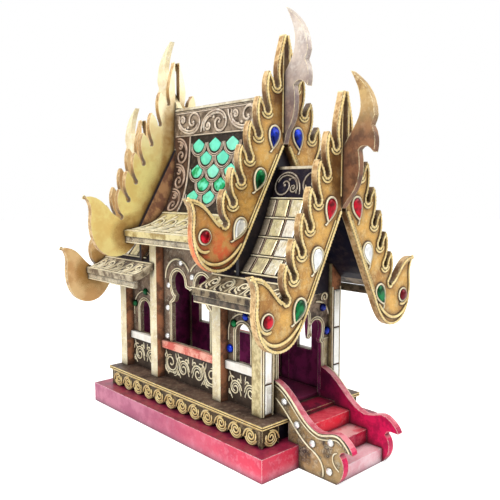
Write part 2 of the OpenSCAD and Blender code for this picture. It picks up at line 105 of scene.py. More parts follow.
def spiral(cx: float, cy: float, r: float, a0: float, turns: float, n: int = 22) -> list[Point]:
    """Return a scroll that winds inward.

    Args:
        cx: The centre's first coordinate.
        cy: The centre's second coordinate.
        r: The outer radius.
        a0: The angle in degrees at which it starts.
        turns: The number of turns, negative for clockwise.
        n: The number of steps.

    Returns:
        The points from the outside to the eye.
    """
    out = []
    for i in range(n + 1):
        t = i / n
        a = math.radians(a0 + 360 * turns * t)
        reach = r * (1 - 0.82 * t)
        out.append((cx + reach * math.cos(a), cy + reach * math.sin(a)))
    return out


def inset(points: Sequence[Point], d: float) -> list[Point]:
    """Move an open line of points to its right.

    Args:
        points: The line.
        d: The distance, negative to move it to the left.

    Returns:
        The moved line, with the same number of points.
    """
    out = []
    for i, p in enumerate(points):
        a = points[max(i - 1, 0)]
        b = points[min(i + 1, len(points) - 1)]
        dx, dy = b[0] - a[0], b[1] - a[1]
        length = math.hypot(dx, dy) or 1.0
        out.append((p[0] + d * dy / length, p[1] - d * dx / length))
    return out


def resample(points: Sequence[Point], step: float) -> list[Point]:
    """Return points at an even spacing along a line.

    Args:
        points: The line.
        step: The wanted spacing.

    Returns:
        The evenly spaced points, with both ends kept.
    """
    lengths = [0.0]
    for a, b in zip(points, points[1:]):
        lengths.append(lengths[-1] + math.dist(a, b))
    count = max(1, round(lengths[-1] / step))
    out, k = [], 0
    for i in range(count + 1):
        s = lengths[-1] * i / count
        while k < len(points) - 2 and lengths[k + 1] < s:
            k += 1
        span = lengths[k + 1] - lengths[k] or 1.0
        t = (s - lengths[k]) / span
        a, b = points[k], points[k + 1]
        out.append((a[0] + t * (b[0] - a[0]), a[1] + t * (b[1] - a[1])))
    return out


# Surfaces that carry ornament


@dataclass(frozen=True)
class SideFace:
    """A flat face that looks out of a long side; its coordinates are Y and Z."""

    side: Side
    x: float

    def at(self, u: float, v: float, h: float = 0.0) -> Vector:
        """Return the point at Y = u, Z = v and a height h off the face."""
        return Vector((self.side.value * (self.x + h), u, v)) * MM

    def normal(self, u: float, v: float) -> Vector:
        """Return the outward direction."""
        return Vector((self.side.value, 0, 0))

    def up(self, u: float, v: float) -> Vector:
        """Return the direction of a growing v."""
        return Vector((0, 0, 1))


@dataclass(frozen=True)
class EndFace:
    """A flat face that looks out of an end; its coordinates are X and Z."""

    end: End
    y: float

    def at(self, u: float, v: float, h: float = 0.0) -> Vector:
        """Return the point at X = u, Z = v and a height h off the face."""
        return Vector((u, self.end.value * (self.y + h), v)) * MM

    def normal(self, u: float, v: float) -> Vector:
        """Return the outward direction."""
        return Vector((0, self.end.value, 0))

    def up(self, u: float, v: float) -> Vector:
        """Return the direction of a growing v."""
        return Vector((0, 0, 1))


@dataclass(frozen=True)
class RoofFace:
    """The top of a roof slope; its coordinates are Y and the way down from the ridge."""

    side: Side
    profile: tuple[Point, ...]

    def _along(self, v: float) -> tuple[Point, Point]:
        """Find a place on the profile.

        Args:
            v: The length down from the ridge.

        Returns:
            The point there and the direction of the profile.
        """
        points = curve(self.profile, PROFILE_STEPS)
        run = 0.0
        for a, b in zip(points, points[1:]):
            step = math.dist(a, b)
            if run + step >= v or b is points[-1]:
                t = (v - run) / step
                d = ((b[0] - a[0]) / step, (b[1] - a[1]) / step)
                return (a[0] + t * (b[0] - a[0]), a[1] + t * (b[1] - a[1])), d
            run += step
        return points[-1], (1.0, 0.0)

    def length(self) -> float:
        """Return the length of the profile from ridge to eave."""
        points = curve(self.profile, PROFILE_STEPS)
        return sum(math.dist(a, b) for a, b in zip(points, points[1:]))

    def at(self, u: float, v: float, h: float = 0.0) -> Vector:
        """Find a point of the slope.

        Args:
            u: Its Y.
            v: Its length down from the ridge.
            h: Its height off the roof.

        Returns:
            The point, in metres.
        """
        p, d = self._along(v)
        x, z = p[0] - d[1] * h, p[1] + d[0] * h
        return Vector((self.side.value * x, u, z)) * MM

    def normal(self, u: float, v: float) -> Vector:
        """Return the outward direction."""
        _, d = self._along(v)
        return Vector((-self.side.value * d[1], 0, d[0])).normalized()

    def up(self, u: float, v: float) -> Vector:
        """Return the direction of a growing v, down the slope."""
        _, d = self._along(v)
        return Vector((self.side.value * d[0], 0, d[1])).normalized()


Face = SideFace | EndFace | RoofFace


def seat_matrix(face: Face, u: float, v: float, h: float = 0.0, turn: float = 0.0) -> Matrix:
    """Return the placing of a piece modelled flat on the XY plane.

    Args:
        face: The surface it sits on.
        u: The first coordinate on the face.
        v: The second coordinate on the face.
        h: The height off the face.
        turn: A turn about the face's normal, in degrees.

    Returns:
        A matrix in metres whose Z looks out of the face and whose Y follows v.
    """
    n, up = face.normal(u, v), face.up(u, v)
    across = up.cross(n)
    rot = Matrix((across, up, n)).transposed().to_4x4()
    return Matrix.Translation(face.at(u, v, h)) @ rot @ Matrix.Rotation(math.radians(turn), 4, "Z")


# The workbench: operators that make, copy and join meshes


def deselect() -> None:
    """Leave edit mode if need be and deselect every object."""
    if bpy.context.object and bpy.context.object.mode != "OBJECT":
        bpy.ops.object.mode_set(mode="OBJECT")
    bpy.ops.object.select_all(action="DESELECT")


def pick(*objects: bpy.types.Object) -> None:
    """Select the given objects only and make the first one active."""
    deselect()
    for o in objects:
        o.select_set(True)
    bpy.context.view_layer.objects.active = objects[0]


def settle(obj: bpy.types.Object) -> None:
    """Put an object's place and scale into its mesh."""
    pick(obj)
    bpy.ops.object.transform_apply(location=True, rotation=True, scale=True)


def select_faces(obj: bpy.types.Object, test: Callable[[bpy.types.MeshPolygon], bool]) -> None:
    """Select the faces of a mesh that pass a test and enter edit mode.

    Args:
        obj: The mesh object.
        test: Called with each face.
    """
    pick(obj)
    bpy.ops.object.mode_set(mode="EDIT")
    bpy.ops.mesh.select_mode(type="FACE")
    bpy.ops.mesh.select_all(action="DESELECT")
    bpy.ops.object.mode_set(mode="OBJECT")
    for f in obj.data.polygons:
        f.select = test(f)
    bpy.ops.object.mode_set(mode="EDIT")


def finish_piece(obj: bpy.types.Object, name: str, finish: str, smooth: bool = True) -> bpy.types.Object:
    """Name, dress and hand over a finished piece.

    Args:
        obj: The mesh object, placed in its mesh.
        name: The piece's name.
        finish: Its material's name.
        smooth: Whether faces that meet gently are shaded as one.

    Returns:
        The same object.
    """
    pick(obj)
    if smooth:
        bpy.ops.object.shade_smooth_by_angle(angle=math.radians(SMOOTH_ANGLE))
    obj.name = name
    obj.data.name = name
    obj.data.materials.clear()
    obj.data.materials.append(bpy.data.materials[finish])
    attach(obj, "root")
    LOG.info("%s: %d faces", name, len(obj.data.polygons))
    return obj


def copies(master: bpy.types.Object, places: Sequence[Matrix],
           tones: Sequence[float] | None = None) -> bpy.types.Object:
    """Copy a modelled piece to each place and join the copies.

    Args:
        master: The piece, modelled at the origin; it is removed afterwards.
        places: One matrix per copy.
        tones: One number per copy for its finish, or None for an even spread.

    Returns:
        One object that holds all the copies, with the number as the attribute "tone".
    """
    rng = random.Random(len(places))
    made = []
    for i, m in enumerate(places):
        o = master.copy()
        o.data = master.data.copy()
        o.data.transform(m)
        if m.determinant() < 0:
            o.data.flip_normals()
        tone = tones[i] if tones else rng.random()
        layer = o.data.attributes.new("tone", "FLOAT", "POINT")
        layer.data.foreach_set("value", [tone] * len(o.data.vertices))
        bpy.context.collection.objects.link(o)
        made.append(o)
    bpy.data.objects.remove(master)
    pick(*made)
    if len(made) > 1:
        bpy.ops.object.join()
    return made[0]


def make_plate(size: tuple[float, float, float], rim: float, rise: float) -> bpy.types.Object:
    """Model a thin plate with a bevelled rim, about the origin.

    Args:
        size: Its width, length and thickness under the bevel.
        rim: The width of the bevel.
        rise: The height of the bevel.

    Returns:
        The plate, facing up.
    """
    deselect()
    bpy.ops.mesh.primitive_cube_add(size=1)
    obj = bpy.context.object
    obj.scale = (size[0] * MM, size[1] * MM, size[2] * MM)
    settle(obj)
    select_faces(obj, lambda f: f.normal.z > 0.9)
    bpy.ops.mesh.inset(thickness=rim * MM)
    bpy.ops.transform.translate(value=(0, 0, rise * MM))
    bpy.ops.object.mode_set(mode="OBJECT")
    return obj

# The weight that marks a ribbed stroke
RIBBED = -1.0


@dataclass
class CordWork:
    """Round cord or piping squeezed onto a surface, in many strokes."""

    radius: float
    strokes: list[tuple[Stroke, bool, float]] = field(default_factory=list)
    def lay(self, face: Face, points: Sequence[Point], h: float = 0.0, closed: bool = False,
            weight: float = 1.0) -> None:
        """Add a stroke that follows points on a face.

        Args:
            face: The surface.
            points: The line in the face's coordinates.
            h: The height of the cord's middle off the face.
            closed: Whether the ends meet.
            weight: A factor on the cord's radius.
        """
        self.strokes.append(([face.at(u, v, h) for u, v in points], closed, weight))

    def rule(self, face: Face, a: float, b: float, levels: Sequence[float], h: float) -> None:
        """Lay a straight cord from u = a to u = b at each level v, at a height h off the face."""
        for v in levels:
            self.lay(face, [(a, v), (b, v)], h)

    def twisted(self, face: Face, points: Sequence[Point], h: float = 0.0,
                pitch: float = 2.2) -> None:
        """Add a ribbed stroke, like a twisted cord, with ribs of the pitch's length."""
        even = resample(points, pitch / 2)
        self.strokes.append(([face.at(u, v, h) for u, v in even], False, RIBBED))

    def make(self, name: str, finish: str) -> bpy.types.Object:
        """Turn the strokes into one mesh.

        Args:
            name: The piece's name.
            finish: Its material's name.

        Returns:
            The finished piece.
        """
        deselect()
        bpy.ops.curve.primitive_bezier_curve_add(location=(0, 0, 0))
        obj = bpy.context.object
        data = obj.data
        data.splines.clear()
        for points, closed, weight in self.strokes:
            line = data.splines.new("POLY")
            last = len(points) - 1
            line.points.add(last)
            for i, (p, q) in enumerate(zip(line.points, points)):
                p.co = (*q, 1)
                if weight == RIBBED:
                    p.radius = RIB_RADII[i % 2]
                else:
                    p.radius = weight * (END_TAPER if i in (0, last) and not closed else 1.0)
            line.use_cyclic_u = closed
        data.dimensions = "3D"
        data.bevel_depth = self.radius * MM
        data.bevel_resolution = 1
        data.use_fill_caps = True
        pick(obj)
        bpy.ops.object.convert(target="MESH")
        return finish_piece(bpy.context.object, name, finish)


# Node groups shared by the finishes


class Tree:
    """A node tree being built, with short calls for nodes and links."""

    def __init__(self, tree: bpy.types.NodeTree) -> None:
        """Keep the tree."""
        self.tree = tree

    def put(self, socket: bpy.types.NodeSocket, value: object) -> None:
        """Set a socket's value, or link it where the value is a socket.

        Args:
            socket: The input socket.
            value: A number, a colour, a vector or another node's output.
        """
        if isinstance(value, bpy.types.NodeSocket):
            self.tree.links.new(value, socket)
        elif isinstance(value, tuple) and len(value) == 3 and socket.type == "RGBA":
            socket.default_value = (*value, 1)
        else:
            socket.default_value = value

    def fill(self, node: bpy.types.Node, **values: object) -> bpy.types.Node:
        """Set up a node.

        Args:
            node: The node.
            **values: Settings of the node, or inputs by name with spaces as underscores.

        Returns:
            The same node.
        """
        for key, value in values.items():
            if key in node.bl_rna.properties:
                setattr(node, key, value)
            else:
                self.put(node.inputs[key.replace("_", " ")], value)
        return node

    def node(self, kind: str, **values: object) -> bpy.types.Node:
        """Add a node and set it up."""
        return self.fill(self.tree.nodes.new(kind), **values)

    def group(self, name: str, **values: object) -> bpy.types.Node:
        """Add a shared group and set its inputs."""
        return self.node("ShaderNodeGroup", node_tree=bpy.data.node_groups[name], **values)

    def given(self, name: str) -> bpy.types.NodeSocket:
        """Return an input of the group that this tree builds."""
        return self.tree.nodes["In"].outputs[name]

    def give(self, name: str, value: object) -> None:
        """Set an output of the group that this tree builds."""
        self.put(self.tree.nodes["Out"].inputs[name], value)

    def place(self) -> bpy.types.NodeSocket:
        """Return the place on the object."""
        return self.node("ShaderNodeTexCoord").outputs["Object"]

    def tone(self) -> bpy.types.NodeSocket:
        """Return the number that each copy of a repeated piece has."""
        return self.node("ShaderNodeAttribute", attribute_name="tone").outputs["Fac"]

    def near(self, distance: float, samples: int) -> bpy.types.NodeSocket:
        """Return how open the surface is, lower where something is near."""
        node = self.node("ShaderNodeAmbientOcclusion", samples=samples, Distance=distance)
        return node.outputs["AO"]

    def math(self, operation: str, a: object, b: object = 0.0) -> bpy.types.NodeSocket:
        """Add a math node.

        Args:
            operation: What it does.
            a: Its first number or socket.
            b: Its second number or socket.

        Returns:
            The result.
        """
        n = self.node("ShaderNodeMath", operation=operation)
        self.put(n.inputs[0], a)
        self.put(n.inputs[1], b)
        return n.outputs[0]

    def times(self, a: object, b: object) -> bpy.types.NodeSocket:
        """Return the product of two values."""
        return self.math("MULTIPLY", a, b)

    def blend(self, a: object, b: object, share: float) -> bpy.types.NodeSocket:
        """Return a share of a plus the rest of b."""
        return self.math("ADD", self.times(a, share), self.times(b, 1 - share))

    def ramp(self, value: object, low: float, high: float, out_low: float = 0.0,
             out_high: float = 1.0) -> bpy.types.NodeSocket:
        """Remap a value smoothly from low..high to out_low..out_high, clamped."""
        return self.node("ShaderNodeMapRange", interpolation_type="SMOOTHSTEP", Value=value,
                         From_Min=low, From_Max=high, To_Min=out_low, To_Max=out_high).outputs["Result"]

    def mix(self, factor: object, a: object, b: object) -> bpy.types.NodeSocket:
        """Mix two colours.

        Args:
            factor: The share of the second.
            a: The first colour.
            b: The second colour.

        Returns:
            The mixed colour.
        """
        n = self.node("ShaderNodeMix", data_type="RGBA")
        self.put(n.inputs[0], factor)
        self.put(n.inputs[6], a)
        self.put(n.inputs[7], b)
        return n.outputs[2]

    def noise(self, where: object, scale: object, detail: float = 4.0,
              rough: float = 0.55) -> bpy.types.NodeSocket:
        """Return a noise value at a place."""
        return self.node("ShaderNodeTexNoise", Vector=where, Scale=scale, Detail=detail,
                         Roughness=rough).outputs[0]


COLOUR, NUMBER = "NodeSocketColor", "NodeSocketFloat"
WHITE, BLACK = (1, 1, 1, 1), (0, 0, 0, 1)


def new_group(name: str, inputs: dict[str, object], outputs: dict[str, str]) -> Tree:
    """Start a shader node group.

    Args:
        name: The group's name.
        inputs: The default of each input, a colour or a number.
        outputs: The socket type of each output.

    Returns:
        The tree, with its input node named In and its output node named Out.
    """
    group = bpy.data.node_groups.new(name, "ShaderNodeTree")
    for label, value in inputs.items():
        kind = COLOUR if isinstance(value, tuple) else NUMBER
        socket = group.interface.new_socket(label, in_out="INPUT", socket_type=kind)
        socket.default_value = value
    for label, kind in outputs.items():
        group.interface.new_socket(label, in_out="OUTPUT", socket_type=kind)
    group.nodes.new("NodeGroupInput").name = "In"
    group.nodes.new("NodeGroupOutput").name = "Out"
    return Tree(group)


def make_patina() -> None:
    """Build aged_paint, which ages a surface: a Color, and a Height for bump."""
    t = new_group(
        "aged_paint",
        {"Base": WHITE, "Shade": BLACK, "Rubbed": WHITE, "Scale": 60.0, "Age": 0.7, "Rub": 0.5},
        {"Color": COLOUR, "Height": NUMBER},
    )
    where = t.place()
    broad = t.noise(where, t.given("Scale"), 5.0, 0.62)
    middle = t.noise(where, t.times(t.given("Scale"), 3.3), 4.0, 0.6)
    fine = t.noise(where, t.times(t.given("Scale"), 11.0), 4.0, 0.6)
    aged = t.times(t.ramp(t.blend(broad, middle, 0.7), 0.42, 0.62), t.given("Age"))
    colour = t.mix(aged, t.given("Base"), t.given("Shade"))
    rubbed = t.times(t.ramp(t.blend(middle, fine, 0.65), 0.48, 0.62), t.given("Rub"))
    t.give("Color", t.mix(rubbed, colour, t.given("Rubbed")))
    t.give("Height", t.blend(broad, fine, 0.4))


def make_hollow_shade() -> None:
    """Build the group that paints dark shade into a Color close to what touches, and fainter shade a little
    further off.
    """
    t = new_group("crevice_grime", {"Paint": WHITE, "Grime": BLACK, "Crevice": 0.8}, {"Color": COLOUR})
    tight = t.ramp(t.near(0.0026, 6), 0.97, 0.58)
    loose = t.ramp(t.near(0.009, 6), 0.94, 0.38, 0.0, 0.85)
    deep = t.times(t.math("MAXIMUM", tight, loose), t.given("Crevice"))
    t.give("Color", t.mix(deep, t.given("Paint"), t.given("Grime")))


def make_edge_rub() -> None:
    """Build edge_rub, whose Mask is 1 on worn edges, broken up by noise."""
    t = new_group("edge_rub", {"Radius": 0.0012, "Break": 220.0}, {"Mask": NUMBER})
    soft = t.node("ShaderNodeBevel", samples=4, Radius=t.given("Radius")).outputs[0]
    turn = t.node("ShaderNodeVectorMath", operation="DOT_PRODUCT")
    t.put(turn.inputs[0], soft)
    t.put(turn.inputs[1], t.node("ShaderNodeNewGeometry").outputs["Normal"])
    edge = t.ramp(turn.outputs["Value"], 0.995, 0.90)
    broken = t.ramp(t.noise(t.place(), t.given("Break"), 5.0, 0.65), 0.34, 0.58)
    t.give("Mask", t.times(edge, broken))


def make_cord_shade() -> None:
    """Build the group that paints shade into a Color, browner the nearer cord or a stone stands."""
    t = new_group("cord_patina", {"Paint": WHITE, "Patina": BLACK, "Amount": 0.8}, {"Color": COLOUR})
    cloud = t.ramp(t.noise(t.place(), 55.0, 4.0, 0.6), 0.30, 0.62, 0.55, 1.0)
    deep = t.times(t.times(t.ramp(t.near(0.018, 12), 1.0, 0.92), cloud), t.given("Amount"))
    t.give("Color", t.mix(deep, t.given("Paint"), t.given("Patina")))


def new_material(name: str) -> tuple[bpy.types.Material, Tree, bpy.types.Node]:
    """Start a material.

    Args:
        name: Its name.

    Returns:
        The material, its tree and its shader.
    """
    m = bpy.data.materials.new(name)
    m.use_nodes = True
    return m, Tree(m.node_tree), m.node_tree.nodes["Principled BSDF"]


# How far a face turns, from its normal, before it counts as looking inward or forward
FACING = (-0.4, -0.7)
# Places, in metres, at which the paint changes
LANDING_X, LANDING_Y = 0.0285, -0.1055
MIDDLE_BAY_Y = (-0.048, 0.055)
BETWEEN_WALLS_Y, END_WALLS_Y = 0.104, 0.1005
class Where(Enum):
    """The part of a piece that another paint covers."""

    FRONTWARD = "faces that look to the front"
    INSIDE = "faces that look into the hall"
    INWARD = "faces between the end walls that look to the hall's middle"
    BACKS = "faces that look back into the roof"
    EDGES = "the sawn edges of an upright board"
    UPWARD = "faces that look up"
    NOT_OUTER = "faces that don't look out of a long side"
    BELOW = "what lies under a height"
    ABOVE = "what lies over a height"
    WIDE = "what lies further out to the side than a width"
    LONG = "what lies further from the middle, along the house, than a length"
    REARWARD = "what lies further back than a place"
    AHEAD = "what lies further forward than a place"
    LANDING = "the landing between the stair cheeks"
    MIDDLE_BAY = "the sills of the middle bays"


@dataclass(frozen=True)
class SecondPaint:
    """Another paint on some part of a piece; level and soft are in metres.

    Where also is given, the paint lies only on what both of them name.
    """

    where: Where
    colour: Colour
    dark: Colour
    amount: float = 1.0
    level: float = 0.0
    soft: float = 0.0006
    also: Where | None = None
    also_level: float = 0.0
    fine: float = 95.0

    def mask(self, t: Tree, where: Where, level: float) -> bpy.types.NodeSocket:
        """Find where the paint lies.

        Args:
            t: The material's tree.
            where: The part of the piece.
            level: The height or place at which that part starts.

        Returns:
            A mask from 0 to 1.
        """
        normal = t.node("ShaderNodeNewGeometry").outputs["Normal"]
        n = t.node("ShaderNodeSeparateXYZ", Vector=normal).outputs
        p = t.node("ShaderNodeSeparateXYZ", Vector=t.place()).outputs
        low, high = level - self.soft, level + self.soft
        levels = {Where.BELOW: ("Z", high, low), Where.ABOVE: ("Z", low, high),
                  Where.REARWARD: ("Y", low, high), Where.AHEAD: ("Y", high, low)}
        if where in levels:
            axis, start, end = levels[where]
            return t.ramp(p[axis], start, end)
        if where in (Where.WIDE, Where.LONG):
            return t.ramp(t.math("ABSOLUTE", p["X" if where is Where.WIDE else "Y"]), low, high)
        if where is Where.UPWARD:
            return t.ramp(n["Z"], 0.5, 0.8)
        if where is Where.EDGES:
            return t.ramp(t.math("ABSOLUTE", n["Y"]), 0.7, 0.4)
        if where is Where.FRONTWARD:
            return t.ramp(n["Y"], *FACING)
        if where is Where.LANDING:
            between = t.math("LESS_THAN", t.math("ABSOLUTE", p["X"]), LANDING_X)
            return t.times(between, t.math("LESS_THAN", p["Y"], LANDING_Y))
        if where is Where.MIDDLE_BAY:
            return t.times(t.math("GREATER_THAN", p["Y"], MIDDLE_BAY_Y[0]),
                           t.math("LESS_THAN", p["Y"], MIDDLE_BAY_Y[1]))
        if where is Where.BACKS:
            return t.ramp(t.times(n["Y"], t.math("SIGN", p["Y"])), *FACING)
        out_x = t.times(n["X"], t.math("SIGN", p["X"]))
        if where is Where.NOT_OUTER:
            return t.ramp(out_x, 0.8, 0.6)
        length = t.math("ABSOLUTE", p["Y"])
        if where is Where.INWARD:
            return t.times(t.ramp(out_x, *FACING), t.math("LESS_THAN", length, BETWEEN_WALLS_Y))
        out_y = t.times(n["Y"], t.math("SIGN", p["Y"]))
        ends = t.times(out_y, t.math("GREATER_THAN", length, END_WALLS_Y))
        return t.ramp(t.math("MINIMUM", out_x, ends), *FACING)

    def over(self, t: Tree, colour: bpy.types.NodeSocket) -> bpy.types.NodeSocket:
        """Lay the paint over a colour.

        Args:
            t: The material's tree.
            colour: The colour under it.

        Returns:
            The mixed colour.
        """
        mottle = t.ramp(t.noise(t.place(), self.fine, 6.0, 0.65), 0.42, 0.60)
        paint = t.mix(mottle, self.colour, self.dark)
        mask = self.mask(t, self.where, self.level)
        if self.also:
            mask = t.times(mask, self.mask(t, self.also, self.also_level or self.level))
        return t.mix(t.times(mask, self.amount), colour, paint)


@dataclass(frozen=True)
class Finish:
    """A painted, gilt or lacquered finish with age on it; its colours are linear."""

    name: str
    base: Colour
    shade: Colour
    rubbed: Colour
    # The colour of the painted shade in hollows and beside raised work
    grime: Colour = (0.018, 0.010, 0.007)
    scale: float = 55.0
    age: float = 0.85
    crevice: float = 0.9
    rub: float = 0.55
    edge: Colour | None = None
    metallic: float = 0.0
    roughness: tuple[float, float] = (0.35, 0.6)
    bump: float = 0.3
    coat: float = 0.0
    specular: float = 0.25
    # The colour of the painted shade beside cord and stones, or None for none
    patina: Colour | None = None
    others: tuple[SecondPaint, ...] = ()

    def build(self) -> bpy.types.Material:
        """Make the material.

        Returns:
            The material, aged, painted over, shaded beside cord, rubbed and given painted shade in its
            hollows, in that order.
        """
        m, t, shader = new_material(self.name)
        aged = t.group("aged_paint", Base=self.base, Shade=self.shade, Rubbed=self.rubbed,
                       Scale=self.scale, Age=self.age, Rub=self.rub)
        colour = aged.outputs["Color"]
        for paint in self.others:
            colour = paint.over(t, colour)
        # Painted shade, browner near cord and stones
        if self.patina:
            colour = t.group("cord_patina", Paint=colour, Patina=self.patina, Amount=0.95).outputs["Color"]
        if self.edge:
            colour = t.mix(t.times(t.group("edge_rub").outputs["Mask"], 0.85), colour, self.edge)
        # Painted shade in hollows and beside raised work
        shaded = t.group("crevice_grime", Paint=colour, Grime=self.grime, Crevice=self.crevice)
        bump = t.node("ShaderNodeBump", Strength=self.bump, Distance=0.0006, Height=aged.outputs["Height"])
        t.fill(shader, Base_Color=shaded.outputs["Color"], Metallic=self.metallic,
               Specular_IOR_Level=self.specular, Normal=bump.outputs[0],
               Roughness=t.ramp(aged.outputs["Height"], 0.3, 0.7, *self.roughness))
        if self.coat:
            t.fill(shader, Coat_Weight=self.coat, Coat_Roughness=0.2)
        return m


@dataclass(frozen=True)
class GlassFinish:
    """Foil-backed glass inlay: deep colour, a bright face and slight waviness.

    A few pieces of the inlay have the second colour, and some of the rest are paler.
    """

    name: str
    colour: Glass
    metallic: float
    roughness: float = 0.12
    deep: float = 0.22
    few: Colour | None = None
    pale: Colour = (0.52, 0.92, 0.76)

    def build(self) -> bpy.types.Material:
        """Make the material.

        Returns:
            The material, with colour that varies over a piece and from piece to piece.
        """
        m, t, shader = new_material(self.name)
        where = t.place()
        patch = t.ramp(t.noise(where, 110.0, 2.0), 0.40, 0.62)
        c = self.colour.value
        colour = t.mix(patch, tuple(v * self.deep for v in c), c)
        if self.few:
            tone = t.tone()
            colour = t.mix(t.times(t.ramp(tone, 0.2, 0.7), 0.30), colour, self.pale)
            colour = t.mix(t.ramp(tone, 0.84, 0.86), colour, t.mix(patch, self.few, c))
        speck = t.ramp(t.noise(where, 900.0, 3.0), 0.66, 0.74, 0.0, 0.3)
        bump = t.node("ShaderNodeBump", Strength=0.15, Distance=0.0005, Height=t.noise(where, 160.0, 2.0))
        t.fill(shader, Base_Color=t.mix(speck, colour, (0.05, 0.04, 0.03)), Metallic=self.metallic,
               Roughness=t.ramp(patch, 0.0, 1.0, self.roughness, self.roughness + 0.1),
               Specular_IOR_Level=0.25, Coat_Weight=0.05, Coat_Roughness=0.05, Normal=bump.outputs[0])
        return m


@dataclass(frozen=True)
class MirrorFinish:
    """Aged mirror tiles that go from grey-brown silvering over cream to white with their tone; the cream and
    white are painted reflection of the bright surroundings.
    """

    name: str
    tones: tuple[Colour, Colour, Colour]

    def build(self) -> bpy.types.Material:
        """Make the material.

        Returns:
            The material, clouded and streaked.
        """
        m, t, shader = new_material(self.name)
        where = t.place()
        cloud = t.noise(where, 150.0, 4.0, 0.6)
        stretched = t.node("ShaderNodeMapping", Scale=(400.0, 900.0, 60.0), Vector=where).outputs[0]
        streak = t.ramp(t.noise(stretched, 1.0, 3.0), 0.52, 0.66, 0.0, 0.45)
        tone = t.math("ADD", t.tone(), t.times(t.math("SUBTRACT", cloud, 0.5), 0.7))
        colour = t.mix(t.ramp(tone, 0.15, 0.5), self.tones[0], self.tones[1])
        colour = t.mix(t.ramp(tone, 0.5, 0.85), colour, self.tones[2])
        colour = t.mix(streak, colour, (0.16, 0.12, 0.08))
        # Painted shade in the hollows round each tile
        shaded = t.group("crevice_grime", Paint=colour, Grime=(0.02, 0.012, 0.008), Crevice=0.9)
        bump = t.node("ShaderNodeBump", Strength=0.1, Distance=0.0005, Height=cloud)
        t.fill(shader, Base_Color=shaded.outputs["Color"], Metallic=0.25, Normal=bump.outputs[0],
               Roughness=t.ramp(cloud, 0.3, 0.7, 0.14, 0.36))
        return m


